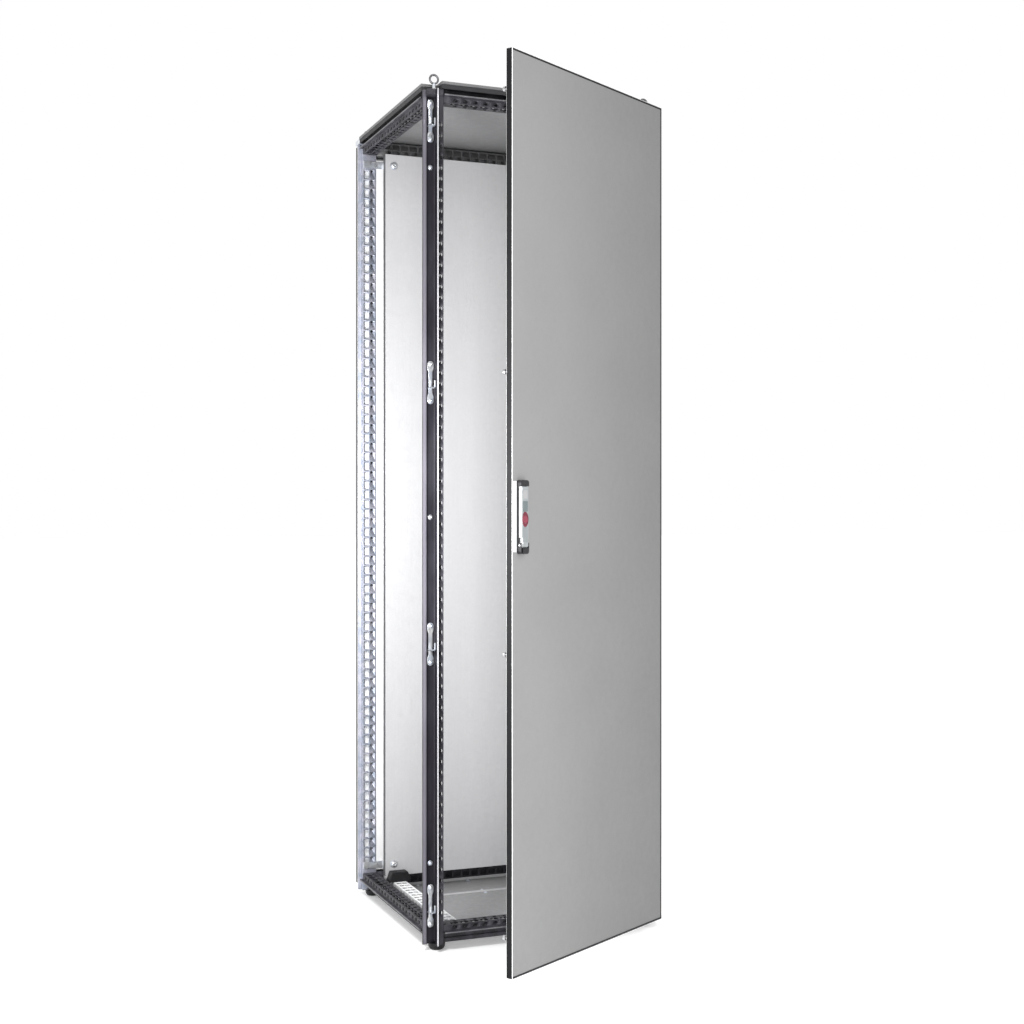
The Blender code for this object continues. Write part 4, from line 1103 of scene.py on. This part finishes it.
# ---------------------------------------------------------------- door


def door_place(x, y, z):
    return DOOR_TURN @ Vector((x, y, z))


def finished_door():
    """Door sheet: soft bends, folded edges painted dark as shade, a line along the bends painted pale as a
    highlight.
    """
    node = "door_panel"
    mesh = solid_mesh(node, node)
    item = add_piece("door_panel_finished", mesh, DOOR, "door", (node,))
    for extra in (DOOR_EDGE_PAINTED_SHADE, DOOR_BEND_PAINTED_HIGHLIGHT):
        mesh.materials.append(extra)
    shade_index, highlight_index = 1, 2
    low, high = shut_box(node)
    for face in mesh.polygons:
        normal = DOOR_BACK.to_3x3() @ face.normal
        middle = DOOR_BACK @ face.center
        rim = min(middle.x - low.x, high.x - middle.x, middle.z - low.z, high.z - middle.z)
        # Folded edge faces take the painted shade
        if abs(normal.y) < 0.5 and rim < 0.0005:
            face.material_index = shade_index
    # The bevel along the bends takes the painted highlight
    step = bevelled(item, 0.0022, 3).modifiers["edge"]
    step.material = highlight_index
    # Bend faces on the hinge side take the painted shade instead of the highlight
    hinge_side = high.x - 0.0026
    for face in applied(item).polygons:
        if face.material_index == highlight_index and (DOOR_BACK @ face.center).x > hinge_side:
            face.material_index = shade_index
    door_shade_lines(low, high)


def door_shade_lines(low, high):
    """Lines painted dark as shade just inside the bends, but for the free edge."""
    set_in = 0.0021
    width = 0.0037
    front = low.y - 0.0004
    back = low.y - 0.0001
    left, right = low.x + set_in, high.x - set_in
    bottom, top = low.z + set_in, high.z - set_in
    beside = right - width - 0.0001
    strips = {
        "hinge": ((right - width, bottom), (right, top)),
        "top": ((left, top - width), (beside, top)),
        "bottom": ((left, bottom), (beside, bottom + width)),
    }
    for side, ((x0, z0), (x1, z1)) in strips.items():
        corners = ((x0, front, z0), (x1, back, z1))
        block(f"door_shade_line_{side}", corners, DOOR_EDGE_PAINTED_SHADE, "door", 0.0001, 1, DOOR_TURN)


def finished_tubes():
    """Punched tubes of the door's inner frame."""
    for node in ("door_tube_left", "door_tube_right", "door_tube_top", "door_tube_bottom"):
        low, high = shut_box(node)
        holes = {band: [(0.5,) + ROUND_HOLE] for band in range(4)}
        if high.z - low.z > high.x - low.x:
            outline = [(low.x, low.y), (high.x, low.y), (high.x, high.y), (low.x, high.y)]
            bm = punched_section(outline, holes, low.z, high.z, door_place)
        else:
            outline = [(low.y, low.z), (high.y, low.z), (high.y, high.z), (low.y, high.z)]

            def crosswise(u, v, x):
                return door_place(x, u, v)
            bm = punched_section(outline, holes, low.x, high.x, crosswise)
        sheet_piece(f"{node}_sheet", bm, FRAME, "door", (node,))


def finished_hardware():
    """Seal, guides, rod, hinges: CAD shapes with their edges broken."""
    edged("door_gasket", FOAM, 0.003, 3)
    for index in (1, 2):
        edged(f"rod_guide_{index}", BLACK, 0.0005)
    edged("lock_rod", STEEL, 0.0003, 1)
    edged("drive_gear", STEEL, 0.0002, 1)
    edged("lever_pin", STEEL, 0.0003)
    for index in (1, 2, 3):
        edged(f"hinge_frame_leaf_{index}", ZINC, 0.0005)
        leaf = edged(f"hinge_door_leaf_{index}", ZINC, 0.0005)
        for vert in leaf.data.vertices:
            vert.co -= vert.normal * PLATING_GAP
        edged(f"hinge_pin_{index}", STEEL, 0.0004)


def lever_plate(name, facing, across, upward, corner, material):
    """Thin plate on the lever's front, between two places across it and two up it."""
    bm = bmesh.new()
    add_prism(bm, rounded_plate(*across, *upward, corner), 0.0, 0.0007, facing)
    bmesh.ops.recalc_face_normals(bm, faces=bm.faces)
    bevelled(add_piece(name, mesh_of(bm, name), material, "lever"), 0.0003)


def lock_bezel(facing, centre, wide, tall, hole):
    """Oval surround with a round hole, its outer edge sloped."""
    count = 40
    bm = bmesh.new()
    loops = []
    for reach_u, reach_v, w in (
            (wide, tall, 0.0), (wide, tall, 0.0007), (wide * 0.94, tall * 0.96, 0.0011),
            (hole, hole, 0.0011), (hole, hole, 0.0)):
        loop = []
        for step in range(count):
            turn = math.tau * step / count
            loop.append(bm.verts.new(facing(reach_u * math.cos(turn), centre + reach_v * math.sin(turn), w)))
        loops.append(loop)
    join_loops(bm, loops)
    bmesh.ops.recalc_face_normals(bm, faces=bm.faces)
    add_piece("lock_bezel", mesh_of(bm, "lock_bezel"), RED_DARK, "lever")


def handle_strip():
    """Strip on the door between its free edge and the handle's housing, painted pale as a highlight."""
    low, high = shut_box("handle_housing")
    edge = shut_box("door_panel")[0].x

    def on_door(u, v, w):
        return door_place(u, high.y - w, v)
    bm = bmesh.new()
    outline = rounded_plate(edge + 0.0028, low.x - 0.0004, low.z + 0.004, high.z - 0.002, 0.001)
    add_prism(bm, outline, 0.0, 0.0008, on_door)
    bmesh.ops.recalc_face_normals(bm, faces=bm.faces)
    # The strip takes the painted highlight
    strip = add_piece("handle_strip", mesh_of(bm, "handle_strip"), HANDLE_PAINTED_HIGHLIGHT, "door")
    bevelled(strip, 0.0003)


def finished_handle():
    """Lift handle: black housing, grey lever with its upper grip painted dark as shade, its lower grip grey
    and its left side painted pale as a highlight, bare badge plate, oval red lock surround.
    """
    edged("handle_housing", BLACK, 0.0012, 3)
    low, high = shut_box("handle_lever")
    button_low, button_high = shut_box("lock_button")
    lever = edged("handle_lever", HANDLE_GREY, 0.0042, 5)
    lever.data.materials.append(HANDLE_PAINTED_HIGHLIGHT)
    # The lever's left side faces take the painted highlight
    for face in lever.data.polygons:
        if (DOOR_BACK.to_3x3() @ face.normal).x < -0.9:
            face.material_index = 1
    edged("lock_button", RED, 0.0006, 3)
    middle = (low.x + high.x) / 2
    half = (high.x - low.x) / 2 - 0.0030
    badge_half = half - 0.001
    centre = (button_low.z + button_high.z) / 2
    ring = (button_high.z - button_low.z) / 2

    def facing(u, v, w):
        return door_place(middle + u, low.y - w, v)
    # Upper grip painted dark as the shade of a recess; the lower grip in the lever's own grey
    lever_plate(
        "lever_grip_upper", facing, (-half, half), (centre + ring * 1.85, high.z - 0.031), 0.002, GRIP_PAINTED_SHADE)
    lever_plate(
        "lever_grip_lower", facing, (-half, half), (low.z + 0.012, centre - ring * 1.85), 0.002, GRIP_PALE)
    lever_plate(
        "lever_badge", facing, (-badge_half, badge_half), (high.z - 0.026, high.z - 0.008), 0.0015, BARE)
    lock_bezel(facing, centre, half + 0.0020, ring + 0.0072, ring + 0.0006)
    handle_strip()


set_camera()
set_floor()
set_surround()
finished_posts()
finished_rails()
finished_roof()
finished_eyes()
finished_keepers()
groove_screws()
finished_plate()
finished_slides()
finished_floor()
finished_rear()
finished_inside()
finished_door()
finished_tubes()
finished_hardware()
finished_handle()
